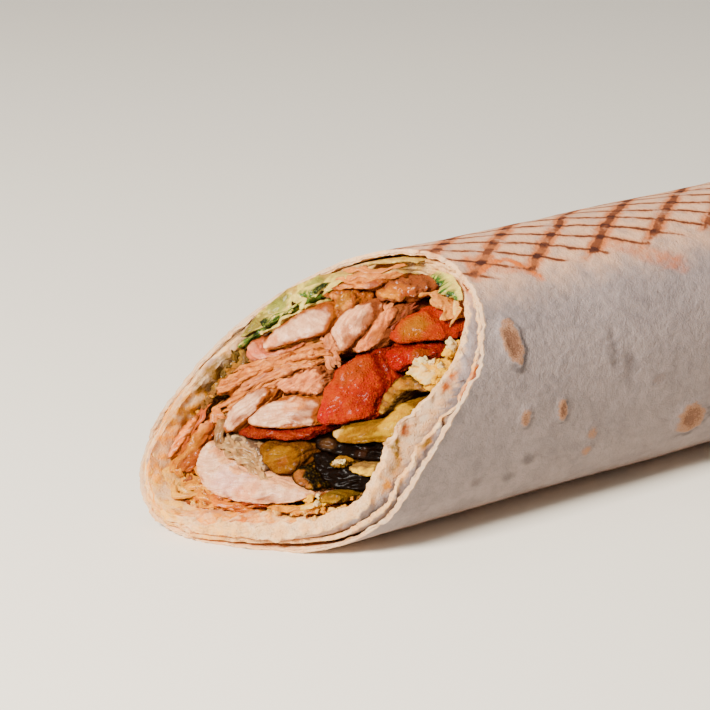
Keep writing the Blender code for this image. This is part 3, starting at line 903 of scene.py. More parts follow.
    def build(self, finish: BreadFinish) -> None:
        """Makes the outer turn.

        Args:
            finish: The bread's finish.
        """
        angle, edge = ROLL.angles(self.columns), self.edge_x()
        rows = [self.folded_row(i / self.end_rows) for i in range(self.end_rows)]
        for share in np.linspace(1.0, 0.0, self.side_rows):
            x = edge + 0.25 + (ROLL.end_x - ROLL.shoulder - edge) * share ** self.crowding
            ring = ROLL.place(x, angle, ROLL.radius(angle))
            flare = self.flare * (1 - share) ** 8 * (np.sin(np.radians(angle)) > -0.6)
            rows.append(ROLL.place(x, angle, ROLL.radius(angle) + ROLL.bumps(ring) + flare))
        rim = ROLL.place(edge, angle, ROLL.radius(angle))
        swelled = ROLL.radius(angle) + ROLL.bumps(rim)
        thin = 1 + 0.45 * swell(rim, 2.4, 9.0, 3)
        lift = 0.3 * swell(rim, 1.6, 10.0, 3)
        split = 0.5 + 0.3 * swell(rim, 5.0, 12.0, 2)
        inner_edge = 0.35 * swell(rim, 1.1, 13.0, 2)
        last = self.layers[-1][0]
        for inset, back in self.layers:
            gap = back * split if inset == self.layer_split else back
            x = edge + gap + inner_edge * (inset > self.layer_split)
            rows.append(ROLL.place(x, angle, swelled - inset * thin - lift * (inset < last)))
        for back in self.inner_backs:
            rows.append(ROLL.place(edge + back, angle, swelled - last))
        inner = ROLL.radius(angle) - ROLL.wall(angle)
        rows.append(ROLL.place(edge + self.inner_backs[-1] + 0.5, angle, inner))
        rows.append(ROLL.place(np.full_like(angle, ROLL.cavity_end), angle, inner))
        rows.append(ROLL.place(np.full_like(angle, ROLL.cavity_end), angle, inner * 0.0))
        first_inner = self.end_rows + self.side_rows
        shaper = Shaper.grid("wrap_skin", self.columns, len(rows) - 1)
        outer = np.concatenate(rows[:first_inner])
        creases = 0.13 * swell(outer * (0.35, 1, 1), 5.0, 3.0, 3) + 0.05 * swell(outer, 2.2, 4.0, 2)
        from_pole = smooth(np.repeat(np.arange(first_inner), len(angle)), 0, self.pole_rows)
        rise = (creases + self.marks_at(outer)[0]) * from_pole
        away = outer * (0, 1, 1) / np.maximum(np.linalg.norm(outer[:, 1:], axis=1), 1e-6)[:, None]
        outer = outer + away * rise[:, None]
        outer[:, 2] = np.maximum(outer[:, 2], -ROLL.flat)
        rows[:first_inner] = np.split(outer, first_inner)
        shaper.roll_up(rows)
        shaper.close()
        # dull holds the dull marks and the painted shadow beside the blisters
        _, toast, dull = self.marks_at(shaper.points)
        shaper.mark("toast", toast)
        shaper.mark("dull", dull)
        self.mark_crumb(shaper)
        shaper.done(finish.material(), "flatbread", "flatbread")

    def mark_crumb(self, shaper: Shaper) -> None:
        """Stores where the skin shows its cut crumb, and where it is soaked.

        Args:
            shaper: The skin's shaper.
        """
        points = shaper.points
        angle = angle_of(points)
        behind = points[:, 0] - ROLL.read(angle, self.edge_x())
        deep = ROLL.radius(angle) - np.hypot(points[:, 1], points[:, 2])
        crumb = 0.65 * smooth(deep, 0.0, 0.25) * smooth(behind, 3.0, 1.5)
        crumb = np.maximum(crumb, 0.5 * smooth(behind + 0.3 * swell(points, 1.2, 7.0, 2), 0.75, 0.25))
        shaper.mark("crumb", crumb)
        soaked = smooth(deep, 0.8, 1.4) * smooth(behind, 16.0, 12.0) * 0.4
        smeared = np.zeros(len(points))
        across = np.stack((points[:, 0], np.radians(angle) * ROLL.half_width), 1)
        streak = 0.5 * swell(points * (0.5, 1.4, 1.4), 2.0, 8.0, 4)
        for smear in self.smears:
            smeared = np.maximum(smeared, smear.amount(across, streak) * smooth(deep, 1.0, 0.5))
        tint = np.where(smeared[:, None] > 0, np.array(SMEAR_STAIN), np.array(SAUCE_STAIN))
        shaper.mark("stain", np.column_stack((tint, np.maximum(soaked, smeared))))


@dataclass(frozen=True)
class Dab:
    """A patch of colour on the cross-section, in millimetres."""

    y: float
    z: float
    radius: float
    colour: Colour
    strength: float = 1.0

    def away(self, points: Array, wobble: Array) -> Array:
        """Distance of points from its middle, 1 at its radius, frayed by a wobble."""
        return np.hypot(points[:, 1] - self.y, points[:, 2] - self.z) / self.radius + wobble

    def lay(self, colours: Array, points: Array, wobble: Array) -> Array:
        """Colours with this patch laid over them.

        Args:
            colours: Colour at each point.
            points: The points.
            wobble: How much nearer or farther each point counts, which frays the patch.

        Returns:
            The new colours.
        """
        return blend(self.strength * smooth(self.away(points, wobble), 1.15, 0.55), colours, self.colour)


FAR_SIDE = (25.0, 130.0)
TOP_SIDE = (92.0, 62.0)
FLOOR_SIDE = (248.0, 75.0)
OPEN_SIDE = (80.0, 28.0)
GAP_SIDE = (246.0, 24.0)
CALM_SHIFTS = (0, 9, -9, 17, -17)


@dataclass
class InnerTurn:
    """One of the sheet's inner turns, which shows its torn edge and an edge-on strip at the cut.

    Each lip has its middle and spread in degrees and its reach in millimetres; each spot its
    angle, its distance behind the edge, its radius and its colour.
    """

    name: str
    inset: float
    thickness: float
    seed: float
    lips: tuple[tuple[float, float, float], ...]
    pocket: float = 0.0
    buckle: float = 0.3
    columns: int = 460
    backs: tuple[float, ...] = (0.3, 0.6, 1.0, 1.5, 2.1, 2.8, 3.6, 4.6, 6.0, 8.0, 11.0)
    inner_soak: float = 0.3
    base: float = 0.0
    sunk: float = 0.8
    curl: float = 0.15
    pressed: float = 0.4
    gap: float = 0.0
    far_fill: float = 0.0
    floor_fill: float = 0.0
    top_fill: float = 0.0
    face_rows: int = 4
    rough: float = 0.1
    layered: float = 0.0
    frayed: float = 0.55
    spots: tuple[tuple[float, float, float, Colour], ...] = ()
    dabs: tuple[Dab, ...] = ()

    def edge_x(self, angle: Array) -> Array:
        """x of the turn's torn edge, which stands out in lips.

        Args:
            angle: Angle of each column.

        Returns:
            x at each column, in millimetres.
        """
        ring = ROLL.ring(angle)
        ragged = 0.8 * swell(ring, 5.0, self.seed, 2) + self.frayed * swell(ring, 1.2, self.seed + 1, 3)
        out = sum(reach * bell(angle, middle, spread) for middle, spread, reach in self.lips)
        hidden = self.base + self.sunk * bell(angle, *FAR_SIDE)
        return ROLL.rim_x(angle) + hidden - out - 0.9 * torn_tab(angle) + ragged

    def row(self, angle: Array, edge: Array, inset: float, back: float) -> Array:
        """One ring of the turn.

        Args:
            angle: Angle of each column.
            edge: x of the torn edge at each column.
            inset: How far into the sheet the ring lies, as a share of its thickness.
            back: How far behind the edge it lies.

        Returns:
            The ring's points.
        """
        opening = bell(angle, *OPEN_SIDE)
        far = bell(angle, *FAR_SIDE)
        floor = bell(angle, *FLOOR_SIDE)
        fill = self.far_fill * far + self.floor_fill * floor + self.top_fill * bell(angle, *TOP_SIDE)
        squeeze = 1 - 0.35 * opening + fill / self.thickness
        middle = ROLL.place(edge + back, angle, np.full_like(angle, ROLL.half_width - self.inset))
        fade = 0.25 + 0.75 * math.exp(-back / 4.0)
        waves = self.buckle * fade * swell(middle * (0.5, 1, 1), 4.5, self.seed + 2, 2)
        fluff = 0.2 + 0.08 * floor * (self.floor_fill > 0) + 0.15 * far * (self.far_fill > 0)
        thin = 1 + fluff * swell(middle, 3.2, self.seed + 3, 2)
        down = self.inset - self.pressed * far + self.pocket * opening + self.gap * bell(angle, *GAP_SIDE)
        ahead = np.maximum(ROLL.rim_x(angle) - edge - back, 0.0)
        folds = 0.6 * np.minimum(ahead / 1.5, 1) * swell(middle * (2.0, 0.5, 0.5), 2.4, self.seed + 5, 3)
        down = down + self.thickness * squeeze * thin * inset + waves + self.curl * ahead + folds
        return ROLL.place(edge + back, angle, ROLL.radius(angle) - down)

    def build(self, finish: BreadFinish) -> None:
        """Makes the turn.

        Args:
            finish: The bread's finish.
        """
        angle = ROLL.angles(self.columns)
        edge = self.edge_x(angle)
        rows = [self.row(angle, edge, 0.0, back) for back in reversed(self.backs)]
        calm = sum(np.roll(edge[:-1], shift) for shift in CALM_SHIFTS) / len(CALM_SHIFTS)
        calm = np.append(calm, calm[0])
        for share in np.linspace(0.08, 0.92, self.face_rows):
            inner = math.sin(math.pi * share) ** 0.5 * self.layered
            front = self.row(angle, edge * (1 - inner) + calm * inner, share, 0.12 * abs(2 * share - 1) ** 3)
            radial = np.hypot(front[:, 1], front[:, 2])
            round_roll = 0.22 * ROLL.ring(angle)[:, 1:]
            layers = np.column_stack((round_roll, radial + 0.4 * swell(front, 6.0, self.seed + 8)))
            torn = swell(layers, 0.9, self.seed + 6, 2) + 0.7 * swell(front, 1.5, self.seed + 7, 3)
            rows.append(front + self.rough * np.column_stack((torn, torn * 0, torn * 0)))
        rows += [self.row(angle, edge, 1.0, back) for back in self.backs]
        rows.append(rows[0])
        shaper = Shaper.grid(self.name, self.columns, len(rows) - 1)
        shaper.roll_up(rows)
        shaper.close()
        points = shaper.points
        self.dress(shaper, points, points[:, 0] - ROLL.read(angle_of(points), edge))
        shaper.done(finish.material(), "flatbread", "flatbread")

    def dress(self, shaper: Shaper, points: Array, behind: Array) -> None:
        """Stores the turn's crumb, toast and stains.

        Args:
            shaper: The turn's shaper.
            points: Its points.
            behind: How far behind the torn edge each point lies.
        """
        angle = angle_of(points)
        deep = (ROLL.radius(angle) - np.hypot(points[:, 1], points[:, 2]) - self.inset) / self.thickness
        wobble = 0.45 * swell(points, 1.6, self.seed + 4, 2)
        drift = 0.2 * swell(points, 3.4, self.seed + 9, 3)
        shaper.mark("crumb", np.maximum(smooth(behind + wobble, 0.9, 0.2), 0.5 * smooth(deep, 0.5, 0.9)))
        shaper.mark("toast", 0.25 * smooth(behind + wobble, 0.5, 0.0))
        shaper.mark("dull", np.zeros(len(points)))
        colours = np.tile(SAUCE_STAIN, (len(points), 1))
        amount = self.inner_soak * smooth(deep + 0.3 * wobble, 0.4, 0.9)
        for dab in self.dabs:
            colours = dab.lay(colours, points, drift)
            amount = np.maximum(amount, dab.strength * smooth(dab.away(points, drift), 1.2, 0.3))
        for middle, back, radius, colour in self.spots:
            arc = np.radians(apart(angle, middle)) * (ROLL.half_width - self.inset)
            body = smooth(np.hypot(0.7 * arc, behind - back) / radius + 0.7 * wobble, 1.15, 0.35)
            colours = blend(body, colours, colour)
            amount = np.maximum(amount, 0.8 * body)
        shaper.mark("stain", np.column_stack((colours, amount)))


WALL_STAINS = (
    Dab(26.0, 16.0, 9.0, (0.159, 0.099, 0.017), 0.95), Dab(27.0, 5.0, 8.0, (0.181, 0.088, 0.013), 0.95),
    Dab(27.0, -7.0, 8.0, (0.796, 0.293, 0.014), 0.9), Dab(23.0, -17.0, 7.0, (0.905, 0.423, 0.047), 0.85),
    Dab(14.0, -25.0, 7.0, (0.924, 0.464, 0.071), 0.8), Dab(17.0, 23.0, 8.0, (0.368, 0.212, 0.033), 0.9),
    Dab(4.0, 28.0, 9.0, (0.485, 0.256, 0.04), 0.8), Dab(0.0, -27.0, 8.0, (0.891, 0.476, 0.103), 0.6),
)
CRUMB_STAINS = (
    Dab(22.0, 10.0, 6.0, (0.125, 0.068, 0.01), 0.92), Dab(23.0, 2.0, 5.0, (0.117, 0.061, 0.008), 0.92),
    Dab(24.0, -5.0, 4.0, (0.444, 0.169, 0.002), 0.8), Dab(22.0, -12.0, 4.6, (0.715, 0.221, 0.0), 0.75),
    Dab(18.0, -20.0, 4.6, (0.774, 0.277, 0.0), 0.75), Dab(13.0, -23.5, 3.6, (0.626, 0.23, 0.0), 0.7),
    Dab(5.0, -22.6, 4.4, (0.847, 0.258, 0.0), 0.7), Dab(-2.0, -21.0, 2.6, (0.532, 0.098, 0.0), 0.6),
    Dab(9.5, -24.5, 0.8, (0.043, 0.021, 0.006), 0.9), Dab(4.0, 27.0, 8.0, (0.753, 0.476, 0.067), 0.8),
    Dab(1.6, 27.8, 0.7, (0.084, 0.089, 0.018), 0.8), Dab(-3.4, 27.6, 0.7, (0.07, 0.08, 0.016), 0.8),
    Dab(12.0, 25.4, 5.0, (0.823, 0.482, 0.054), 0.7), Dab(-10.0, -22.0, 4.0, (0.89, 0.386, 0.024), 0.6),
    Dab(-20.0, -17.0, 2.6, (0.199, 0.103, 0.017), 0.7),
)

TURNS = (
    InnerTurn("wrap_turn_middle", inset=1.5, thickness=1.0, seed=11.0,
              lips=((196.0, 70.0, 1.3), (255.0, 25.0, -0.8), (100.0, 50.0, -0.6)), pocket=0.5, buckle=0.25,
              gap=0.7, dabs=WALL_STAINS,
              spots=((160.0, 1.2, 2.2, (0.473, 0.093, 0.0)), (165.5, 0.6, 1.6, (0.396, 0.087, 0.005)),
                     (186.0, 0.8, 1.4, (0.288, 0.135, 0.015)))),
    InnerTurn("wrap_turn_inner", inset=3.1, thickness=1.25, seed=21.0,
              lips=((188.0, 95.0, 4.6), (170.0, 30.0, 3.2), (183.0, 30.0, 1.6), (262.0, 60.0, 0.8),
                    (95.0, 50.0, -1.0)), buckle=0.5, inner_soak=0.15, sunk=1.5, curl=0.3, pressed=0.95,
              far_fill=1.0, floor_fill=2.2, face_rows=14, rough=0.3, layered=0.8, dabs=WALL_STAINS,
              spots=((181.0, 2.0, 1.5, (0.268, 0.055, 0.008)), (160.0, 2.0, 1.8, (0.371, 0.078, 0.001)),
                     (163.5, 2.6, 1.2, (0.308, 0.066, 0.006)), (197.0, 3.0, 1.7, (0.355, 0.155, 0.011)),
                     (205.0, 2.0, 1.5, (0.554, 0.195, 0.008)), (187.5, 1.6, 1.4, (0.222, 0.12, 0.01)),
                     (191.0, 2.6, 1.1, (0.282, 0.149, 0.012)))),
    InnerTurn("wrap_crumb", inset=2.3, thickness=0.9, seed=61.0,
              lips=((322.0, 62.0, 3.3), (262.0, 50.0, 2.8), (15.0, 42.0, 2.9), (70.0, 45.0, 2.2),
                    (112.0, 40.0, 1.8)), base=3.4, sunk=0.0, curl=0.0, far_fill=2.6, floor_fill=4.6,
              top_fill=2.1, face_rows=26, rough=0.45, layered=1.0, frayed=0.2, inner_soak=0.7,
              dabs=CRUMB_STAINS),
)


class Look(Enum):
    """What a filling is, which settles its relief and its finish."""

    MEAT = "meat"
    SHRED = "shred"
    ROAST = "roast"
    TOMATO = "tomato"
    PICKLE = "pickle"
    DARK = "dark_pickle"
    CHEESE = "cheese"
    SAUCE = "sauce"
    LEAF = "leaf"


@dataclass(frozen=True)
class Relief:
    """How rough a filling's surface is, in millimetres."""

    strand: float = 1.0
    strand_depth: float = 0.0
    lump: float = 3.0
    lump_height: float = 0.3
    grain_size: float = 0.8
    grain_height: float = 0.08
    rounding: float = 0.45
    rim: float = 0.9
    press: float = 0.26


RELIEFS = {
    Look.MEAT: Relief(strand=1.5, strand_depth=0.34, lump=3.4, lump_height=0.35, grain_size=0.9,
                      grain_height=0.16, rounding=0.3, rim=0.5),
    Look.SHRED: Relief(strand=1.2, strand_depth=0.75, lump=2.6, lump_height=0.6, grain_height=0.25,
                       rounding=0.4, rim=0.5),
    Look.ROAST: Relief(strand=1.3, strand_depth=0.6, lump=2.4, lump_height=0.8, grain_size=0.9,
                       grain_height=0.3, rounding=0.4, rim=0.6),
    Look.TOMATO: Relief(strand=1.6, strand_depth=0.12, lump=2.8, lump_height=0.55, grain_size=0.6,
                        grain_height=0.12, rounding=0.6, rim=0.4),
    Look.PICKLE: Relief(strand=1.5, strand_depth=0.3, lump=3.4, lump_height=0.35, grain_height=0.1,
                        rounding=0.3, rim=0.5),
    Look.DARK: Relief(strand=1.8, strand_depth=0.5, lump=3.6, lump_height=0.45, grain_size=1.2,
                      grain_height=0.05, rounding=0.5, rim=0.6),
    Look.CHEESE: Relief(lump=1.5, lump_height=0.7, grain_size=0.6, grain_height=0.35, rounding=0.4,
                        rim=0.5),
    Look.SAUCE: Relief(strand=1.5, lump=2.4, lump_height=0.7, grain_size=0.9, grain_height=0.3,
                       rounding=0.4, rim=0.6),
    Look.LEAF: Relief(strand_depth=0.1, lump=2.0, lump_height=0.4, grain_height=0.1, rounding=0.1, rim=0.4,
                      press=0.1),
}


@dataclass
class Filling:
    """A piece of filling that runs along the wrap: its solid's form, worked up near the cut."""

    node: str
    slot: str
    look: Look
    face: Colour
    side: Colour
    grain: float = 0.0
    dabs: tuple[Dab, ...] = ()
    rows: tuple[float, ...] = (-1.6, -0.6, 0.3, 1.1, 2.0, 3.2, 4.8, 7.0, 10.0, 15.0, 24.0)
    cuts: int = 3
    divided: float = 8.0
    relaxed: float = 6.0
    walls: tuple[float, float] = (3.0, 13.0)
    strength: float = 1.0
    fray: float = 0.3
    rim: float = 1.0
    # how much of the rim colour lies in the grooves between strands, partly marinade and partly painted
    # shade
    groove: float = 0.5
    # how much painted highlight lies on the strands' crests
    bloom: float = 0.3

    def refine(self, shaper: Shaper) -> None:
        """Gives the piece even faces near the cut, and rounds its edges there.

        Args:
            shaper: The piece's shaper.
        """
        data = shaper.obj.data
        across = Vector((1.0, ROLL.cut_lean[0], -ROLL.cut_lean[1])).normalized()

        def slice_at(back: float) -> Callable[[], Any]:
            """A step that cuts the faces at a depth behind the slanted cut."""
            place = (Vector(AXIS) + Vector((back + ROLL.cut_start, 0, 0))) * MM
            return lambda: bpy.ops.mesh.bisect(plane_co=place, plane_no=across)

        def near_cut(reach: float) -> None:
            """Selects the faces near the slanted cut.

            Args:
                reach: How far behind the cut they may lie, in millimetres.
            """
            bm = bmesh.from_edit_mesh(data)
            bpy.ops.mesh.select_all(action="DESELECT")
            for face in bm.faces:
                p = face.calc_center_median() / MM - Vector(AXIS)
                face.select_set(p.x - ROLL.cut_x(p.y, p.z) < reach)
            bm.select_flush(True)
            bmesh.update_edit_mesh(data)

        def divide() -> None:
            """Divides the faces near the cut."""
            near_cut(self.divided)
            bpy.ops.mesh.subdivide(number_cuts=self.cuts)

        def relax() -> None:
            """Rounds what is nearest the cut."""
            near_cut(self.relaxed)
            bpy.ops.mesh.vertices_smooth(factor=0.5, repeat=1)

        shaper.edit(*[slice_at(back) for back in self.rows], divide, relax)

    def sculpt(self, shaper: Shaper, seed: float) -> None:
        """Works the piece's lumps and strands into its mesh and stores its colours.

        Args:
            shaper: The piece's shaper.
            seed: Number that picks the pattern.
        """
        points, out = shaper.points, shaper.normals
        relief = RELIEFS[self.look]
        behind = points[:, 0] - ROLL.cut_x(points[:, 1], points[:, 2])
        walls = (behind > self.walls[0]) & (behind < self.walls[1])
        inward = nearest(points[:, 1:], points[walls][:, 1:])
        turn = math.radians(self.grain)
        along = points[:, 1] * math.cos(turn) + points[:, 2] * math.sin(turn)
        across = points[:, 2] * math.cos(turn) - points[:, 1] * math.sin(turn)
        across = across + 1.1 * swell(points, 6.0, seed + 0.3)
        grain = np.stack((0.13 * along, across, 0.3 * behind), 1)
        strands = np.minimum(2.4 * np.abs(swell(grain, relief.strand, seed, 2)), 1.0) - 0.5
        lumps = swell(points, relief.lump, seed + 1, 2)
        rise = relief.strand_depth * strands + relief.lump_height * lumps
        rise += relief.grain_height * swell(points, relief.grain_size, seed + 2, 2)
        rise *= self.strength
        rounded = relief.rounding * smooth(inward, 1.1, 0.1) * (behind < 0.4)
        rise += relief.press * smooth(inward, 0.8, 0.2) - rounded
        shaper.points = points + out * (rise * smooth(behind, self.walls[1], 6.0))[:, None]
        wobble = self.fray * swell(points, 1.5, seed + 4, 2)
        self.paint(shaper, points, wobble, inward, strands + 0.5 * lumps)
        shaper.mark("grain", grain)

    def paint(self, shaper: Shaper, points: Array, wobble: Array, inward: Array, strands: Array) -> None:
        """Stores the piece's colours: its cut face, its cooked or skinned rim, its dabs, the rim colour in
        its grooves (partly painted shade) and painted highlights on its crests.

        Args:
            shaper: The piece's shaper.
            points: Its points before they were worked.
            wobble: Small noise that frays the borders.
            inward: How far each point lies inside the piece's outline, in millimetres.
            strands: Where the strands are: high on them and low between them.
        """
        rim = RELIEFS[self.look].rim * self.rim
        side = smooth(inward + 1.6 * wobble, rim, 0.15)
        # the grooves between strands take the rim colour: partly marinade in them, partly painted shade
        side = np.maximum(side, self.groove * smooth(strands, -0.05, -0.5))
        face = np.tile(self.face, (len(points), 1))
        for dab in self.dabs:
            face = dab.lay(face, points, wobble)
        # painted highlight: lighter colour on the crests of the strands, where light would catch them
        crest = self.bloom * smooth(strands, 0.1, 0.6) * (1 - side)
        face = blend(crest, face, BLOOMS.get(self.look, self.face))
        shaper.tint(blend(side, face, self.side))

    def build(self, finishes: dict[Look, FoodFinish], seed: float) -> None:
        """Makes the piece.

        Args:
            finishes: The finish of each look.
            seed: Number that picks its patterns.
        """
        shaper = Shaper.of_node(self.node.replace("chicken", "meat") + "_cut", self.node)
        self.refine(shaper)
        self.sculpt(shaper, seed)
        shaper.done(finishes[self.look].material(), self.slot, self.node)


WHITE_MEAT = (0.856, 0.486, 0.286)
PINK_MEAT = (0.881, 0.294, 0.088)
SHRED_MEAT = (0.768, 0.247, 0.036)
BROWN_MEAT = (0.248, 0.057, 0.009)
MARINADE = (0.307, 0.068, 0.000)
RED_MARINADE = (0.278, 0.033, 0.000)
GOLD_FAT = (0.281, 0.094, 0.000)
TOMATO_RED = (0.358, 0.017, 0.000)
TOMATO_PINK = (0.460, 0.044, 0.000)
TOMATO_ORANGE = (0.356, 0.044, 0.000)
TOMATO_GOLD = (0.324, 0.109, 0.000)
# Dark red of the tomatoes' rims, also used for painted shade on the meat
TOMATO_DARK = (0.185, 0.007, 0.004)
PICKLE_YELLOW = (0.245, 0.102, 0.000)
PICKLE_PALE = (0.624, 0.330, 0.002)
PICKLE_OLIVE = (0.182, 0.074, 0.008)
# Near-black of the dark pickles: their dark skin, deepened with painted shade
PICKLE_DARK = (0.003, 0.001, 0.000)
PEPPER_GOLD = (0.202, 0.071, 0.000)
LEAF_PALE = (0.810, 0.595, 0.124)
LEAF_GREEN = (0.051, 0.123, 0.011)
LEAF_DARK = (0.003, 0.010, 0.002)
LEAF_RIB = (0.902, 0.747, 0.120)
LEAF_OLIVE = (0.169, 0.121, 0.014)
CHEESE_PALE = (0.903, 0.637, 0.262)
CHEESE_DEEP = (0.919, 0.444, 0.002)
SAUCE_OLIVE = (0.151, 0.077, 0.008)
CRUMB_PALE = (0.878, 0.457, 0.109)
CRUMB_DEEP = (0.755, 0.281, 0.005)
DRIP = (0.316, 0.045, 0.000)

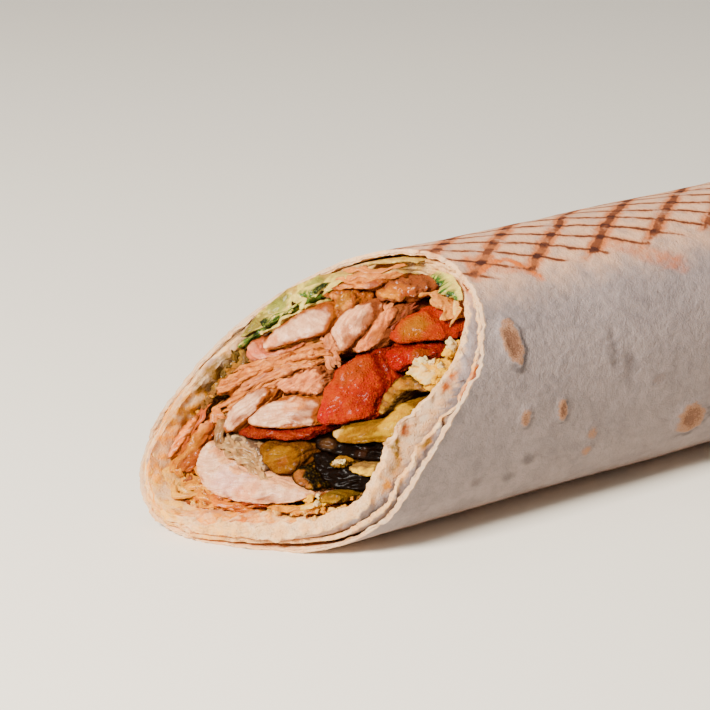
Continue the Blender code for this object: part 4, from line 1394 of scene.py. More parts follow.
FILLINGS = (
    Filling("chicken_block", "chicken", Look.MEAT, WHITE_MEAT, MARINADE, grain=25.0, rim=1.9, groove=0.06,
            bloom=0.1, strength=0.6,
            dabs=(Dab(15.6, 17.6, 3.4, MARINADE, 0.95), Dab(10.6, 19.0, 2.6, RED_MARINADE, 0.8),
                  Dab(17.6, 13.6, 2.4, MARINADE, 0.85), Dab(18.2, 11.0, 2.4, PINK_MEAT, 0.8),
                  Dab(15.0, 10.6, 1.6, PINK_MEAT, 0.7))),
    Filling("chicken_pink", "chicken", Look.MEAT, (0.669, 0.155, 0.058), BROWN_MEAT, grain=20.0,
            dabs=(Dab(19.5, 10.0, 2.0, MARINADE, 0.6), Dab(13.0, 8.0, 2.2, PINK_MEAT, 0.6))),
    Filling("chicken_top", "chicken", Look.MEAT, SHRED_MEAT, MARINADE, grain=15.0, groove=0.6,
            dabs=(Dab(3.2, 23.4, 2.4, TOMATO_DARK, 0.8), Dab(0.4, 24.6, 1.4, RED_MARINADE, 0.7))),
    Filling("chicken_fatty", "roast", Look.ROAST, GOLD_FAT, MARINADE, grain=60.0,
            dabs=(Dab(11.0, 20.5, 1.8, SHRED_MEAT, 0.8), Dab(5.4, 18.6, 1.6, SHRED_MEAT, 0.8),
                  Dab(7.0, 17.2, 1.2, BROWN_MEAT, 0.7))),
    Filling("chicken_pale", "chicken", Look.MEAT, (0.895, 0.417, 0.203), BROWN_MEAT, grain=70.0, groove=0.4,
            dabs=(Dab(0.4, 17.0, 1.8, BROWN_MEAT, 0.85), Dab(0.8, 13.0, 1.6, BROWN_MEAT, 0.85),
                  Dab(1.6, 10.4, 1.4, MARINADE, 0.7))),
    Filling("chicken_upright", "chicken", Look.SHRED, (0.869, 0.252, 0.059), BROWN_MEAT, grain=75.0,
            strength=0.6, dabs=(Dab(-4.2, 14.5, 1.8, MARINADE, 0.7), Dab(-4.6, 20.0, 1.6, MARINADE, 0.7))),
    Filling("chicken_tan", "roast", Look.ROAST, (0.437, 0.105, 0.0), BROWN_MEAT,
            dabs=(Dab(-4.8, 22.5, 2.0, RED_MARINADE, 0.7), Dab(-1.6, 21.8, 1.8, (0.745, 0.253, 0.0), 0.7),
                  # painted shadow: the dab below darkens the gap beside the lettuce
                  Dab(-8.6, 21.4, 2.0, TOMATO_DARK, 0.8))),
    Filling("chicken_shred_far", "chicken", Look.SHRED, SHRED_MEAT, MARINADE, grain=150.0, groove=0.7),
    Filling("chicken_shred_mid", "chicken", Look.SHRED, SHRED_MEAT, BROWN_MEAT, grain=145.0, groove=0.7),
    Filling("chicken_centre", "chicken", Look.SHRED, PINK_MEAT, BROWN_MEAT, grain=130.0, groove=0.7),
    Filling("chicken_oblong", "chicken", Look.MEAT, WHITE_MEAT, MARINADE, grain=110.0, rim=1.1, groove=0.2,
            dabs=(Dab(11.5, -5.2, 1.8, MARINADE, 0.7), Dab(11.8, 0.8, 1.2, BROWN_MEAT, 0.6))),
    Filling("chicken_wedge", "chicken", Look.MEAT, WHITE_MEAT, MARINADE, grain=170.0, rim=1.5, groove=0.2,
            strength=0.7,
            dabs=(Dab(0.8, -2.0, 2.0, BROWN_MEAT, 0.85), Dab(3.4, -0.2, 2.0, SHRED_MEAT, 0.7),
                  Dab(2.0, -5.4, 1.8, RED_MARINADE, 0.8))),
    Filling("chicken_slab", "chicken", Look.MEAT, (0.856, 0.486, 0.286), (0.882, 0.405, 0.161), grain=170.0,
            rim=0.5, groove=0.12, bloom=0.5, strength=0.75,
            dabs=(Dab(6.0, -14.6, 4.6, (0.861, 0.489, 0.421), 0.65), Dab(13.0, -18.4, 2.6, MARINADE, 0.85),
                  Dab(5.0, -20.2, 1.8, RED_MARINADE, 0.8), Dab(-3.4, -18.8, 2.2, MARINADE, 0.7),
                  Dab(15.6, -15.6, 1.6, PINK_MEAT, 0.9), Dab(1.0, -18.0, 3.0, PINK_MEAT, 0.5))),
    Filling("chicken_glazed", "roast", Look.ROAST, (0.372, 0.094, 0.0), (0.335, 0.062, 0.0), grain=100.0,
            dabs=(Dab(19.8, -7.4, 1.8, PINK_MEAT, 0.85), Dab(16.8, -14.5, 1.6, RED_MARINADE, 0.5))),
    Filling("chicken_edge", "chicken", Look.MEAT, (0.902, 0.245, 0.028), MARINADE, grain=100.0),
    Filling("chicken_curls", "roast", Look.ROAST, (0.875, 0.331, 0.006), BROWN_MEAT, grain=160.0,
            # painted shade: both dabs darken the holes among the curls
            dabs=(Dab(13.2, -18.6, 1.1, TOMATO_DARK, 0.9), Dab(8.5, -20.8, 1.4, BROWN_MEAT, 0.9))),
    Filling("tomato_large", "tomato", Look.TOMATO, TOMATO_RED, TOMATO_DARK, grain=60.0, groove=0.12,
            bloom=0.5,
            dabs=(Dab(-3.0, 2.0, 3.2, TOMATO_PINK, 0.7), Dab(-10.0, 3.0, 2.2, TOMATO_DARK, 0.5),
                  Dab(-4.0, 7.6, 3.2, (0.294, 0.045, 0.002), 0.85),
                  Dab(-3.2, -1.2, 3.0, (0.398, 0.0, 0.0), 0.9),
                  Dab(0.6, 4.6, 1.4, (0.86, 0.175, 0.009), 0.7))),
    Filling("tomato_upper", "tomato", Look.TOMATO, TOMATO_ORANGE, TOMATO_RED, grain=20.0, groove=0.1,
            dabs=(Dab(-10.6, 17.3, 3.0, TOMATO_GOLD, 0.95), Dab(-15.0, 16.5, 2.0, (0.309, 0.025, 0.0), 0.8),
                  Dab(-7.0, 14.4, 2.2, TOMATO_RED, 0.8), Dab(-12.0, 19.6, 1.4, TOMATO_RED, 0.6))),
    Filling("tomato_lobe", "tomato", Look.TOMATO, (0.381, 0.0, 0.0), TOMATO_DARK, grain=30.0, groove=0.1,
            bloom=0.2,
            dabs=(Dab(-14.6, 12.4, 2.4, (0.215, 0.043, 0.001), 0.9),
                  Dab(-10.0, 11.0, 2.5, (0.296, 0.0, 0.0), 0.9))),
    Filling("tomato_strip", "tomato", Look.TOMATO, (0.163, 0.014, 0.006), TOMATO_DARK, grain=175.0),
    Filling("pickle_yellow", "pickle", Look.PICKLE, PICKLE_YELLOW, (0.155, 0.066, 0.002), grain=160.0,
            bloom=0.6,
            dabs=(Dab(-18.0, 0.2, 2.8, PICKLE_PALE, 0.8), Dab(-11.0, -4.4, 2.6, PICKLE_YELLOW, 0.9),
                  Dab(-16.0, -4.0, 2.2, (0.17, 0.076, 0.0), 0.8), Dab(-8.2, -4.4, 1.4, CHEESE_PALE, 0.9))),
    Filling("pickle_olive", "pickle", Look.PICKLE, (0.27, 0.103, 0.007), (0.067, 0.027, 0.005), grain=20.0,
            bloom=0.4, dabs=(Dab(-14.0, 6.6, 1.8, (0.375, 0.124, 0.003), 0.8),)),
    # the dark pickles are near-black: dark skin with painted shade of the shadowed place they lie in
    Filling("pickle_dark_upper", "dark_pickle", Look.DARK, PICKLE_DARK, PICKLE_DARK, grain=175.0, bloom=0.0,
            dabs=(Dab(-6.0, -7.4, 2.0, (0.067, 0.027, 0.007), 0.8),
                  Dab(-14.0, -8.0, 1.4, (0.025, 0.009, 0.003), 0.8))),
    Filling("pickle_dark_lower", "dark_pickle", Look.DARK, PICKLE_DARK, PICKLE_DARK, grain=175.0, bloom=0.0,
            dabs=(Dab(-3.0, -14.6, 1.6, (0.067, 0.022, 0.006), 0.8),
                  Dab(-10.0, -14.6, 1.2, (0.022, 0.008, 0.003), 0.8))),
    Filling("pepper_golden", "pickle", Look.PICKLE, PEPPER_GOLD, (0.1, 0.03, 0.004), grain=150.0, bloom=0.0,
            strength=1.6,
            dabs=(Dab(0.5, -10.0, 1.8, (0.237, 0.1, 0.0), 0.9),
                  Dab(3.4, -9.0, 1.3, (0.061, 0.021, 0.004), 0.8),
                  Dab(-1.4, -11.4, 1.2, (0.207, 0.045, 0.003), 0.7))),
    Filling("pepper_tail", "pickle", Look.PICKLE, (0.256, 0.074, 0.012), PICKLE_DARK, grain=30.0),
    Filling("pickle_skin", "dark_pickle", Look.MEAT, (0.512, 0.307, 0.131), (0.111, 0.065, 0.034),
            grain=155.0, groove=0.15, rim=0.4, strength=0.12),
    Filling("onion_chip", "cheese", Look.CHEESE, CHEESE_PALE, PICKLE_YELLOW),
    Filling("onion_strip", "cheese", Look.CHEESE, (0.896, 0.521, 0.022), (0.22, 0.104, 0.017),
            strength=0.4),
    Filling("pepper_dice", "pickle", Look.PICKLE, PICKLE_YELLOW, (0.109, 0.054, 0.005)),
    Filling("cheese_crumble", "cheese", Look.CHEESE, CHEESE_PALE, CHEESE_DEEP),
    Filling("cheese_chip", "cheese", Look.CHEESE, (0.891, 0.433, 0.024), CHEESE_DEEP, strength=0.5),
    Filling("cheese_crumbs", "cheese", Look.CHEESE, CHEESE_PALE, CHEESE_DEEP, strength=0.5),
    Filling("sauce_pool", "sauce", Look.SAUCE, (0.364, 0.179, 0.007), (0.144, 0.068, 0.01), grain=80.0,
            dabs=(Dab(21.6, 8.0, 2.0, SAUCE_OLIVE, 0.9), Dab(22.0, 3.0, 2.0, MARINADE, 0.5))),
    Filling("lettuce_outer", "lettuce", Look.LEAF, LEAF_PALE, LEAF_GREEN, grain=60.0,
            dabs=(Dab(16.0, 18.0, 3.0, LEAF_DARK), Dab(21.4, 11.0, 2.2, LEAF_DARK))),
    Filling("lettuce_inner", "lettuce", Look.LEAF, LEAF_PALE, LEAF_PALE, grain=60.0),
    Filling("lettuce_near", "lettuce", Look.LEAF, (0.871, 0.4, 0.106), (0.761, 0.251, 0.031), grain=100.0,
            groove=0.25,
            dabs=(Dab(-12.4, 23.4, 1.6, LEAF_GREEN, 0.8),
                  Dab(-13.6, 18.6, 1.6, (0.669, 0.221, 0.045), 0.6))),
    Filling("cabbage_pocket", "lettuce", Look.LEAF, (0.898, 0.581, 0.131), (0.643, 0.387, 0.066),
            groove=0.2,
            dabs=(Dab(6.6, 27.6, 0.7, (0.086, 0.098, 0.021), 0.8),
                  Dab(-2.6, 28.4, 0.6, (0.066, 0.085, 0.019), 0.8))),
)

# Colour of the painted highlights on each look's strand crests.
BLOOMS = {
    Look.MEAT: (0.916, 0.575, 0.36),
    Look.SHRED: (0.893, 0.387, 0.13),
    Look.ROAST: (0.854, 0.342, 0.0),
    Look.TOMATO: (0.5, 0.055, 0.0),
    Look.PICKLE: (0.547, 0.325, 0.0),
}

FINISHES = {
    Look.MEAT: FoodFinish("meat_cooked", vary=0.22, strands=0.8, pores=0.1, wet=0.34, juice=0.1,
                          bump=0.00045, fleck=(0.3, 0.055, 0.005), flecks=0.3),
    Look.SHRED: FoodFinish("meat_shredded", vary=0.24, patch=1.6, strands=0.8, pores=0.1, dry=0.6, wet=0.36,
                           juice=0.1, glow=0.15, bump=0.0005, fleck=(0.199, 0.037, 0.006), flecks=0.35),
    Look.ROAST: FoodFinish("meat_glazed", vary=0.18, patch=1.6, strands=0.6, pores=0.1, dry=0.5, juice=0.15,
                           bump=0.0005, fleck=(0.262, 0.047, 0.001), flecks=0.35),
    Look.TOMATO: FoodFinish("tomato_flesh", vary=0.22, patch=1.5, strands=0.25, pores=0.2, dry=0.5, wet=0.2,
                            juice=0.05, glow=0.15, bump=0.00042, fleck=(0.419, 0.063, 0.0), flecks=0.3,
                            shine=0.03, pulp=0.7),
    Look.PICKLE: FoodFinish("pickle_flesh", vary=0.2, patch=1.8, strands=0.6, pores=0.2, dry=0.5, wet=0.24,
                            juice=0.04, glow=0.15, bump=0.0004, fleck=(0.433, 0.229, 0.0), flecks=0.1,
                            shine=0.03, pulp=0.15),
    Look.DARK: FoodFinish("pickle_skin_dark", vary=0.3, patch=2.4, strands=0.4, dry=0.45, juice=0.04,
                          glow=0.0, bump=0.00022, fleck=(0.04, 0.011, 0.004), flecks=0.15, shine=0.02),
    Look.CHEESE: FoodFinish("cheese_soft", vary=0.12, patch=1.2, strands=0.2, pores=0.6, dry=0.75, wet=0.5,
                            juice=0.0, glow=0.25, bump=0.0005),
    Look.SAUCE: FoodFinish("sauce_garlic", patch=1.6, strands=0.2, pores=0.3, dry=0.4, wet=0.22,
                           bump=0.0004),
    Look.LEAF: FoodFinish("lettuce_leaf", vary=0.17, patch=1.2, strands=0.6, dry=0.45, wet=0.28, juice=0.15,
                          glow=0.25, bump=0.0004, fleck=(0.844, 0.91, 0.058), flecks=0.3),
}


class Loose:
    """Gathers many small closed bodies and joins them in one mesh."""

    def __init__(self, name: str) -> None:
        """Starts with nothing gathered."""
        self.name = name
        self.points: list[Array] = []
        self.faces: list[Array] = []
        self.tints: list[Array] = []
        self.grains: list[Array] = []
        self.count = 0

    def gather(self, points: Array, faces: list, tint: Array, grain: Array) -> None:
        """Adds one body.

        Args:
            points: Its points, in millimetres from the roll's axis.
            faces: Its faces, as numbers of its points.
            tint: Its colour at each point.
            grain: Each point's place along and across the grain.
        """
        self.faces += [[i + self.count for i in face] for face in faces]
        self.points.append(points)
        self.tints.append(tint)
        self.grains.append(grain)
        self.count += len(points)

    def join(self, finish: FoodFinish, slot: str, *nodes: str) -> None:
        """Makes the mesh of all that was gathered.

        Args:
            finish: Its finish.
            slot: The record's slot for it.
            nodes: The solids that it stands for.
        """
        mesh = bpy.data.meshes.new(self.name)
        mesh.from_pydata(((np.concatenate(self.points) + AXIS) * MM).tolist(), [], self.faces)
        shaper = Shaper(link_new(self.name, mesh))
        shaper.edit(lambda: bpy.ops.mesh.normals_make_consistent(inside=False))
        shaper.tint(np.concatenate(self.tints))
        shaper.mark("grain", np.concatenate(self.grains))
        shaper.done(finish.material(), slot, *nodes, sharp=70.0)


@dataclass(frozen=True)
class Bundle:
    """Torn strands that lie side by side across the cut, in millimetres."""

    start: tuple[float, float]
    end: tuple[float, float]
    spread: float
    count: int
    thick: float
    proud: float
    colour: Colour
    bow: float = 0.0
    shadow: Colour = BROWN_MEAT


@dataclass
class Strands:
    """Loose torn strands that fill in round the larger pieces."""

    name: str
    slot: str
    look: Look
    nodes: tuple[str, ...]
    bundles: tuple[Bundle, ...]
    sides: int = 8
    rings: int = 22
    seed: int = 5

    def strand(self, loose: Loose, bundle: Bundle, rng: np.random.Generator) -> None:
        """Adds one strand of a bundle.

        Args:
            loose: What it is added to.
            bundle: The bundle.
            rng: Source of its chance numbers.
        """
        share = np.linspace(0.0, 1.0, self.rings)
        start, end = np.array(bundle.start), np.array(bundle.end)
        length = np.linalg.norm(end - start)
        ahead = (end - start) / length
        beside = np.array((-ahead[1], ahead[0]))
        reach = rng.uniform(0.6, 1.0)
        first = rng.uniform(0.0, 1.0 - reach)
        run = first + share * reach
        phase = rng.uniform(0, 2 * math.pi, 3)
        waver = 0.3 * np.sin(run * length * 0.9 + phase[0]) + 0.16 * np.sin(run * length * 2.1 + phase[1])
        across = rng.uniform(-1, 1) * bundle.spread + bundle.bow * 4 * run * (1 - run) + waver
        middle = start + ahead * (run * length)[:, None] + beside * across[:, None]
        behind = -bundle.proud + rng.uniform(-0.5, 0.7) + 0.35 * np.sin(run * length * 0.7 + phase[2])
        behind = behind + 1.5 * np.abs(2 * share - 1) ** 5
        taper = np.maximum(np.sin(math.pi * share), 0.0) ** 0.4 + 0.02
        wide = bundle.thick * rng.uniform(0.65, 1.3) * taper
        turn = np.linspace(0.0, 2 * math.pi, self.sides, endpoint=False)
        flat = rng.uniform(0.5, 0.85)
        ring = middle[:, None] + beside * (wide[:, None] * np.cos(turn))[..., None]
        x = ROLL.cut_x(ring[..., 0], ring[..., 1]) + behind[:, None] - flat * wide[:, None] * np.sin(turn)
        points = np.concatenate((x[..., None], ring), 2).reshape(-1, 3)
        lumps = 0.16 * swell(points, 0.8, self.seed + bundle.thick, 2)
        points = points + lumps[:, None] * np.array((1.0, 0.7, 0.7))
        number = np.arange(self.rings * self.sides).reshape(self.rings, self.sides)
        beyond = np.roll(number, -1, axis=1)
        faces = np.stack((number[:-1], beyond[:-1], beyond[1:], number[1:]), 2).reshape(-1, 4).tolist()
        faces += [number[0, ::-1].tolist(), number[-1].tolist()]
        # painted shade: each strand's underside takes more of its shadow colour
        low = np.tile(np.sin(turn) < -0.3, self.rings)
        amount = 0.35 * rng.uniform(0, 1) + 0.5 * low + 0.5 * swell(points, 1.3, self.seed + 2.0)
        amount = np.clip(amount, 0, 1)
        bright = rng.uniform(0.86, 1.12)
        tint = blend(amount, bundle.colour, bundle.shadow) * bright
        grain = (np.repeat(0.13 * run * length, self.sides), np.tile(turn, self.rings) * bundle.thick,
                 np.full(len(points), rng.uniform(0, 50)))
        loose.gather(points, faces, tint, np.column_stack(grain))

    def build(self, finishes: dict[Look, FoodFinish]) -> None:
        """Makes the strands.

        Args:
            finishes: The finish of each look.
        """
        rng = np.random.default_rng(self.seed)
        loose = Loose(self.name)
        for bundle in self.bundles:
            for _ in range(bundle.count):
                self.strand(loose, bundle, rng)
        loose.join(finishes[self.look], self.slot, *self.nodes)


@dataclass(frozen=True)
class Patch:
    """A patch of the cut with crumbs strewn over it, in millimetres."""

    y: float
    z: float
    reach_y: float
    reach_z: float
    count: int
    size: float
    proud: float
    colours: tuple[Colour, ...]


@dataclass
class Crumbs:
    """Crumbs and small torn bits in patches."""

    name: str
    slot: str
    look: Look
    nodes: tuple[str, ...]
    patches: tuple[Patch, ...]
    seed: int = 9
    reach: float = 25.2

    def build(self, finishes: dict[Look, FoodFinish]) -> None:
        """Makes the crumbs.

        Args:
            finishes: The finish of each look.
        """
        bpy.ops.object.select_all(action="DESELECT")
        bpy.ops.mesh.primitive_ico_sphere_add(subdivisions=3, radius=1.0)
        ball = bpy.context.active_object
        form = np.array([v.co[:] for v in ball.data.vertices])
        faces = [list(p.vertices) for p in ball.data.polygons]
        bpy.data.objects.remove(ball)
        rng = np.random.default_rng(self.seed)
        loose = Loose(self.name)
        for patch in self.patches:
            for _ in range(patch.count):
                size = patch.size * rng.uniform(0.5, 1.25)
                turned = np.linalg.qr(rng.normal(size=(3, 3)))[0]
                turned *= np.sign(np.linalg.det(turned))
                lumps = 1 + 0.75 * swell(form, 0.8, rng.uniform(0, 40), 3)
                body = form * lumps[:, None] * np.array((1.0, rng.uniform(0.55, 1.0), rng.uniform(0.5, 0.9)))
                away = rng.normal(size=2) * 0.5
                y, z = patch.y + away[0] * patch.reach_y, patch.z + away[1] * patch.reach_z
                inside = min(1.0, self.reach / math.hypot(y, z))
                y, z = y * inside, z * inside
                x = ROLL.cut_x(y, z) - patch.proud + rng.uniform(-0.5, 0.5)
                points = body @ turned.T * size + np.array((x, y, z))
                colour = np.array(patch.colours[rng.integers(len(patch.colours))]) * rng.uniform(0.88, 1.1)
                loose.gather(points, faces, np.tile(colour, (len(points), 1)), points * 0.6)
        loose.join(finishes[self.look], self.slot, *self.nodes)


@dataclass
class Frill:
    """A torn piece of leaf that shows its face at the cut, ruffled towards its free edge."""

    name: str
    nodes: tuple[str, ...]
    path: tuple[tuple[float, float], ...]
    towards: tuple[float, float]
    width: float
    proud: float
    rib: Colour
    blade: Colour
    tip: Colour
    ruffle: float = 0.7
    tip_start: float = 0.75
    seed: float = 3.0
    columns: int = 110
    rows: int = 26
    thickness: float = 0.22
    streaks: float = 16.0
    dabs: tuple[Dab, ...] = ()

    def build(self, finish: FoodFinish) -> None:
        """Makes the leaf.

        Args:
            finish: The leaf's finish.
        """
        shaper = Shaper.grid(self.name, self.columns, self.rows)
        u, v = ((shaper.raw[:, :2] + 1) / 2).T
        knots = np.array(self.path)
        at = np.linspace(0, 1, len(knots))
        line = np.stack([np.interp(u, at, knots[:, i]) for i in range(2)], 1)
        inward = np.array(self.towards) - line
        inward /= np.linalg.norm(inward, axis=1)[:, None]
        flat = np.stack((u * 0, line[:, 0], line[:, 1]), 1)
        ragged = 1 + 0.35 * swell(flat, 2.2, self.seed, 3)
        wide = self.width * ragged * np.maximum(np.sin(math.pi * np.clip(u, 0.02, 0.98)), 0) ** 0.35
        place = line + inward * (v * wide)[:, None]
        spread = np.stack((v * 1.5, place[:, 0], place[:, 1]), 1)
        wave = self.ruffle * (0.25 + 0.9 * v) * swell(spread, 1.9, self.seed + 1, 2)
        fold = self.ruffle * 0.7 * v * swell(spread, 2.3, self.seed + 2, 1)
        place = place + np.stack((-inward[:, 1], inward[:, 0]), 1) * fold[:, None]
        x = ROLL.cut_x(place[:, 0], place[:, 1]) - self.proud + 1.1 * wave + 0.8 * (1 - v) ** 2
        shaper.points = np.column_stack((x, place))
        fray = 0.25 * swell(spread, 1.2, self.seed + 3, 2)
        tint = blend(smooth(v + fray, 0.1, 0.6), self.rib, self.blade)
        tint = blend(smooth(v + fray, self.tip_start, self.tip_start + 0.2), tint, self.tip)
        veins = swell(np.stack((u * self.streaks, v * 1.2, v * 0), 1), 1.0, self.seed + 4, 2)
        tint = blend(0.55 * smooth(veins, 0.05, 0.4), tint, LEAF_RIB)
        for dab in self.dabs:
            tint = dab.lay(tint, shaper.points, 1.6 * fray)
        shaper.tint(tint)
        shaper.mark("grain", np.column_stack((v * self.width * 0.3, u * 14.0, v * 0)))
        thicken = shaper.obj.modifiers.new("thickness", "SOLIDIFY")
        thicken.thickness, thicken.offset = self.thickness * MM, 0.0
        bpy.ops.object.modifier_apply(modifier=thicken.name)
        shaper.edit(lambda: bpy.ops.mesh.normals_make_consistent(inside=False))
        shaper.done(finish.material(), "lettuce", *self.nodes)


SHREDS = (
    Bundle((21.5, 1.0), (4.0, 9.5), 2.2, 16, 0.55, 0.5, SHRED_MEAT, -1.2, MARINADE),
    Bundle((18.5, -2.5), (5.0, 7.8), 1.6, 12, 0.5, 0.4, PINK_MEAT, -1.2, BROWN_MEAT),
    Bundle((16.0, -1.5), (8.0, 4.6), 1.4, 9, 0.5, 0.3, SHRED_MEAT, -0.8, BROWN_MEAT),
    Bundle((20.5, 5.8), (7.0, 11.0), 0.9, 8, 0.45, 0.1, SHRED_MEAT, -0.6, MARINADE),
    Bundle((9.0, 12.4), (3.0, 8.6), 1.4, 7, 0.5, 0.2, PINK_MEAT, 0.4),
    Bundle((6.4, 13.5), (1.0, 6.0), 0.9, 5, 0.45, 0.0, PINK_MEAT, 0.5),
    Bundle((8.0, 6.0), (1.5, 3.0), 1.6, 8, 0.55, 0.6, PINK_MEAT, 0.6),
    Bundle((19.5, -4.5), (14.0, 0.0), 1.2, 9, 0.5, 0.6, SHRED_MEAT, 0.5, MARINADE),
    Bundle((17.5, -4.5), (12.0, -12.0), 0.7, 6, 0.5, 0.1, (0.39, 0.192, 0.059), 1.2, (0.039, 0.019, 0.009)),
    Bundle((20.8, -3.2), (17.0, -7.0), 0.9, 5, 0.5, 0.3, SHRED_MEAT, 0.4, MARINADE),
    Bundle((14.0, 24.2), (1.0, 26.2), 1.1, 12, 0.55, 0.4, SHRED_MEAT, 0.8, MARINADE),
    Bundle((18.5, 12.0), (12.0, 19.2), 0.7, 7, 0.5, 0.2, MARINADE, 1.6, RED_MARINADE),
    Bundle((0.0, 21.0), (-4.6, 12.0), 1.0, 7, 0.45, 0.1, PINK_MEAT, -0.4),
    # painted shade: dark red strands set back in the gap between meat and tomato
    Bundle((-4.8, 21.0), (-3.6, 12.0), 0.7, 5, 0.4, -0.6, (0.312, 0.061, 0.02), 0.2, TOMATO_DARK),
    Bundle((9.0, -0.6), (1.0, 0.6), 0.6, 6, 0.4, 0.0, SHRED_MEAT, 0.4),
    Bundle((10.6, 1.5), (10.4, -6.0), 0.5, 5, 0.4, -0.2, SHRED_MEAT, 0.2, RED_MARINADE),
    Bundle((22.5, -3.0), (21.0, -14.0), 0.8, 7, 0.45, 0.0, (0.56, 0.115, 0.017), 0.3, RED_MARINADE),
    Bundle((15.5, -10.0), (3.0, -13.8), 1.0, 12, 0.42, 0.6, (0.534, 0.297, 0.106), -0.6,
           (0.05, 0.028, 0.014)),
    Bundle((8.0, -12.0), (-3.0, -15.8), 0.7, 8, 0.4, 0.5, (0.571, 0.314, 0.109), 0.5, (0.05, 0.028, 0.014)),
    Bundle((18.0, -17.0), (6.0, -21.6), 1.4, 8, 0.55, 0.2, (0.796, 0.283, 0.0), -0.8, MARINADE),
    Bundle((19.5, -17.6), (10.4, -19.4), 0.3, 2, 0.8, 0.8, (0.867, 0.404, 0.033), 1.8, BROWN_MEAT),
    Bundle((16.0, -21.6), (9.0, -18.8), 0.4, 2, 0.7, 0.9, (0.91, 0.37, 0.013), -1.6, BROWN_MEAT),
    Bundle((20.6, -13.6), (17.0, -18.0), 0.6, 3, 0.7, 0.6, (0.657, 0.244, 0.0), 0.8, MARINADE),
    Bundle((16.0, -20.0), (-2.0, -21.4), 1.2, 10, 0.5, -0.2, (0.684, 0.179, 0.0), -0.3, RED_MARINADE),
    Bundle((9.0, -19.4), (-4.0, -20.0), 0.5, 8, 0.4, 0.3, DRIP, -0.4, RED_MARINADE),
    Bundle((9.0, -14.6), (3.0, -17.6), 0.7, 4, 0.22, 0.55, (0.929, 0.5, 0.306), -0.4,
           (0.113, 0.075, 0.061)),
    Bundle((-2.0, -20.4), (-14.0, -19.2), 0.5, 8, 0.45, 0.2, (0.892, 0.333, 0.0), -0.2, MARINADE),
)

CRUMB_PATCHES = (
    Patch(12.0, -22.8, 10.0, 1.4, 16, 1.1, -1.0, (CRUMB_PALE, CRUMB_DEEP)),
    Patch(-4.0, -21.8, 12.0, 1.0, 14, 1.0, -0.9, (CRUMB_PALE, CRUMB_PALE, CRUMB_DEEP)),
    Patch(-14.0, -19.6, 8.0, 1.2, 12, 1.0, -0.6, (CRUMB_PALE, CRUMB_DEEP)),
    Patch(21.0, -17.0, 2.4, 3.0, 8, 1.1, -1.0, (CRUMB_PALE, CRUMB_DEEP)),
    Patch(23.4, -9.0, 0.8, 6.0, 8, 0.9, -1.2, (CRUMB_PALE, CRUMB_DEEP)),
    Patch(23.0, -2.0, 1.0, 4.0, 9, 1.0, -0.8, ((0.214, 0.085, 0.014), GOLD_FAT, CRUMB_DEEP)),
    Patch(23.0, 6.0, 1.0, 4.0, 9, 1.0, -0.6, (SAUCE_OLIVE, (0.125, 0.068, 0.011), (0.245, 0.13, 0.015))),
    Patch(-20.4, -16.0, 2.4, 1.0, 6, 0.8, 0.0, (PICKLE_OLIVE, (0.038, 0.025, 0.006), CRUMB_DEEP)),
)

CHEESE_PATCHES = (
    Patch(-17.0, 9.8, 3.6, 1.2, 12, 1.3, 0.9, (CHEESE_PALE, CHEESE_PALE, CHEESE_DEEP)),
    Patch(-20.5, 8.4, 1.2, 2.0, 6, 1.2, 0.8, (CHEESE_PALE, CHEESE_DEEP)),
    Patch(-18.6, 13.6, 1.2, 1.4, 4, 1.2, 0.6, (CHEESE_PALE, CHEESE_DEEP)),
    Patch(-11.8, -9.8, 1.2, 0.5, 3, 0.9, 0.4, (CHEESE_PALE,)),
    Patch(-12.4, -17.4, 2.6, 1.0, 6, 0.9, 0.5, (CHEESE_PALE, CHEESE_DEEP)),
)

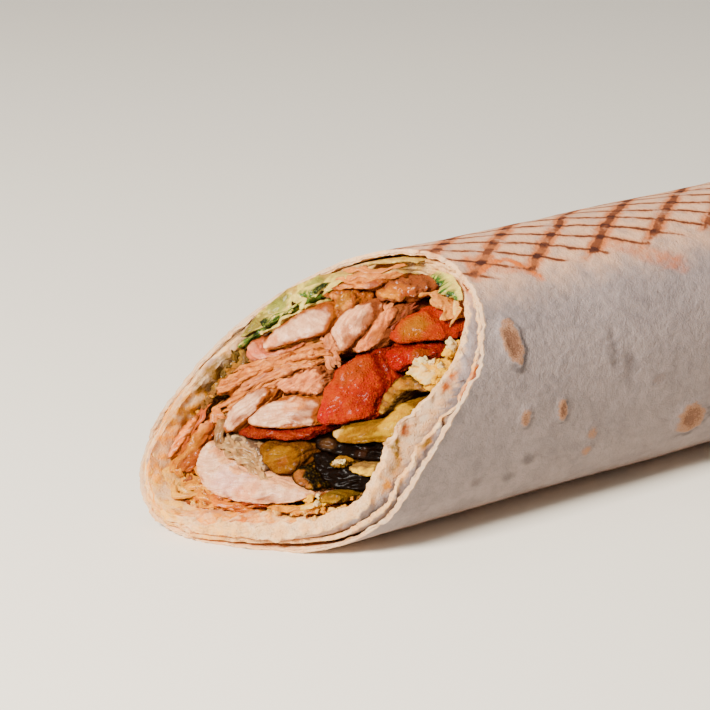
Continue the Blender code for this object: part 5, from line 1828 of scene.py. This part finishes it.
LEAVES = (
    Frill("leaf_outer", ("lettuce_outer",),
          ((24.6, 9.5), (24.2, 14.5), (21.6, 19.6), (17.0, 23.2), (10.0, 25.2)), towards=(13.0, 14.0),
          width=5.4, proud=0.6, rib=(0.394, 0.23, 0.036), blade=LEAF_PALE, tip=LEAF_OLIVE, ruffle=0.8,
          tip_start=0.9,
          dabs=(Dab(24.0, 12.0, 3.0, LEAF_OLIVE, 0.9), Dab(21.0, 16.4, 2.6, LEAF_GREEN, 0.7),
                Dab(22.4, 19.0, 2.0, LEAF_OLIVE, 0.6), Dab(16.6, 21.6, 1.8, LEAF_GREEN, 0.6))),
    Frill("leaf_tip_low", ("lettuce_outer", "lettuce_inner"),
          ((16.4, 18.2), (18.2, 16.4), (20.4, 14.8), (21.8, 13.8)), towards=(19.2, 10.2), width=2.6,
          proud=1.4, rib=LEAF_PALE, blade=LEAF_GREEN, tip=LEAF_GREEN, tip_start=0.8, seed=13.0, columns=60,
          dabs=(Dab(21.2, 13.0, 1.7, LEAF_DARK), Dab(19.2, 12.6, 1.0, LEAF_DARK))),
    Frill("leaf_tip_high", ("lettuce_outer", "lettuce_inner"), ((18.4, 20.2), (16.2, 21.6), (13.2, 22.4)),
          towards=(14.4, 17.6), width=2.4, proud=1.4, rib=LEAF_PALE, blade=LEAF_GREEN, tip=LEAF_GREEN,
          tip_start=0.8, seed=23.0, columns=60, dabs=(Dab(14.0, 21.2, 1.8, LEAF_DARK),)),
    Frill("leaf_near", ("lettuce_near",), ((-6.0, 27.4), (-9.4, 27.0), (-12.6, 25.0), (-14.6, 22.8)),
          towards=(-8.0, 21.0), width=2.4, proud=1.0, rib=LEAF_PALE, blade=(0.025, 0.114, 0.012),
          tip=LEAF_DARK, ruffle=0.8, tip_start=0.7, seed=33.0, columns=80),
    Frill("leaf_near_rib", ("lettuce_near",), ((-11.6, 24.6), (-13.4, 21.0), (-15.4, 17.4)),
          towards=(-18.0, 22.0), width=2.4, proud=0.5, rib=(0.875, 0.498, 0.177),
          blade=(0.707, 0.277, 0.055), tip=(0.274, 0.099, 0.032), ruffle=0.4, tip_start=0.85, seed=43.0,
          columns=60),
)


@dataclass(frozen=True)
class Lamp:
    """A square soft light: its place and side in metres, its power in watts and its colour."""

    name: str
    place: tuple[float, float, float]
    size: float
    power: float
    colour: Colour


@dataclass
class Studio:
    """The pale table, the soft lights and the camera at the photograph's angle."""

    azimuth: float = -34.674
    elevation: float = 20.0
    distance: float = 0.59173
    lens: float = 132.9
    sensor: float = 36.0
    clip_end: float = 20.0
    aim: tuple[float, float] = (-0.00205, 0.0083)
    lit: tuple[float, float, float] = (-0.05, 0.0, 0.03)
    lamps: tuple[Lamp, ...] = (
        Lamp("key", (-0.69, -0.12, 0.57), 0.26, 25.0, (1.0, 0.93, 0.84)),
        Lamp("fill", (-0.5, -1.0, 0.5), 0.9, 0.7, (0.97, 0.98, 1.0)),
        Lamp("top", (0.3, 0.3, 1.0), 0.8, 3.4, (0.98, 0.98, 1.0)))
    world_colour: Colour = (0.85, 0.84, 0.83)
    world_strength: float = 0.13
    table_size: float = 6.0
    table_colours: tuple[Colour, Colour] = ((0.887, 0.835, 0.731), (0.938, 0.885, 0.768))

    def back(self) -> Vector:
        """Direction from the roll to the camera."""
        a, e = math.radians(self.azimuth), math.radians(self.elevation)
        return Vector((math.sin(a) * math.cos(e), -math.cos(a) * math.cos(e), math.sin(e)))

    def camera(self) -> None:
        """Sets the camera up at the photograph's angle."""
        back = self.back()
        azimuth = math.radians(self.azimuth)
        right = Vector((math.cos(azimuth), math.sin(azimuth), 0))
        up = back.cross(right)
        camera = link_new("camera", bpy.data.cameras.new("camera"))
        camera.data.lens, camera.data.sensor_width = self.lens, self.sensor
        camera.data.clip_end = self.clip_end
        place = Vector(AXIS) * MM + back * self.distance + right * self.aim[0] + up * self.aim[1]
        turned = Matrix((right, up, back)).transposed()
        camera.matrix_world = Matrix.Translation(place) @ turned.to_4x4()
        bpy.context.scene.camera = camera

    def light(self, lamp: Lamp) -> None:
        """Hangs a lamp that points at the cut end.

        Args:
            lamp: The lamp.
        """
        data = bpy.data.lights.new(lamp.name, "AREA")
        data.size, data.energy, data.color = lamp.size, lamp.power, lamp.colour
        obj = link_new(lamp.name, data)
        obj.location = lamp.place
        towards = Vector(lamp.place) - Vector(self.lit)
        obj.rotation_euler = towards.to_track_quat("Z", "Y").to_euler()

    def floor(self) -> None:
        """Lays the table."""
        bpy.ops.object.select_all(action="DESELECT")
        bpy.ops.mesh.primitive_plane_add(size=self.table_size)
        table = bpy.context.active_object
        table.name = "table_top"
        material, w, shader = new_material("table_pale")
        grain = w.noise(w.add("TexCoord").outputs["Object"], 0.3, 4.0)
        w.fill(shader, {"Base Color": w.mix(grain, *self.table_colours), "Roughness": 0.85})
        table.data.materials.append(material)

    def build(self) -> None:
        """Sets up the table, the lights and the camera."""
        self.floor()
        for lamp in self.lamps:
            self.light(lamp)
        world = bpy.data.worlds.new("studio")
        bpy.context.scene.world = world
        world.use_nodes = True
        shader = world.node_tree.nodes["Background"]
        Wiring(world.node_tree).fill(shader, {"Color": self.world_colour, "Strength": self.world_strength})
        self.camera()


def main() -> None:
    """Builds the studio, the bread and the fillings in order."""
    logging.basicConfig(level=logging.INFO, format="%(message)s")
    Studio().build()
    bread = BreadFinish()
    Skin().build(bread)
    for turn in TURNS:
        turn.build(bread)
    for count, filling in enumerate(FILLINGS):
        filling.build(FINISHES, FIRST_SEED + SEED_STEP * count)
    shredded = ("chicken_shred_far", "chicken_shred_mid")
    Strands("meat_shreds", "chicken", Look.SHRED, shredded, SHREDS).build(FINISHES)
    Crumbs("bread_crumbs", "cheese", Look.CHEESE, ("flatbread",), CRUMB_PATCHES).build(FINISHES)
    Crumbs("cheese_lumps", "cheese", Look.CHEESE, ("cheese_crumble",), CHEESE_PATCHES, 19).build(FINISHES)
    for leaf in LEAVES:
        leaf.build(FINISHES[Look.LEAF])


if __name__ == "__main__":
    main()
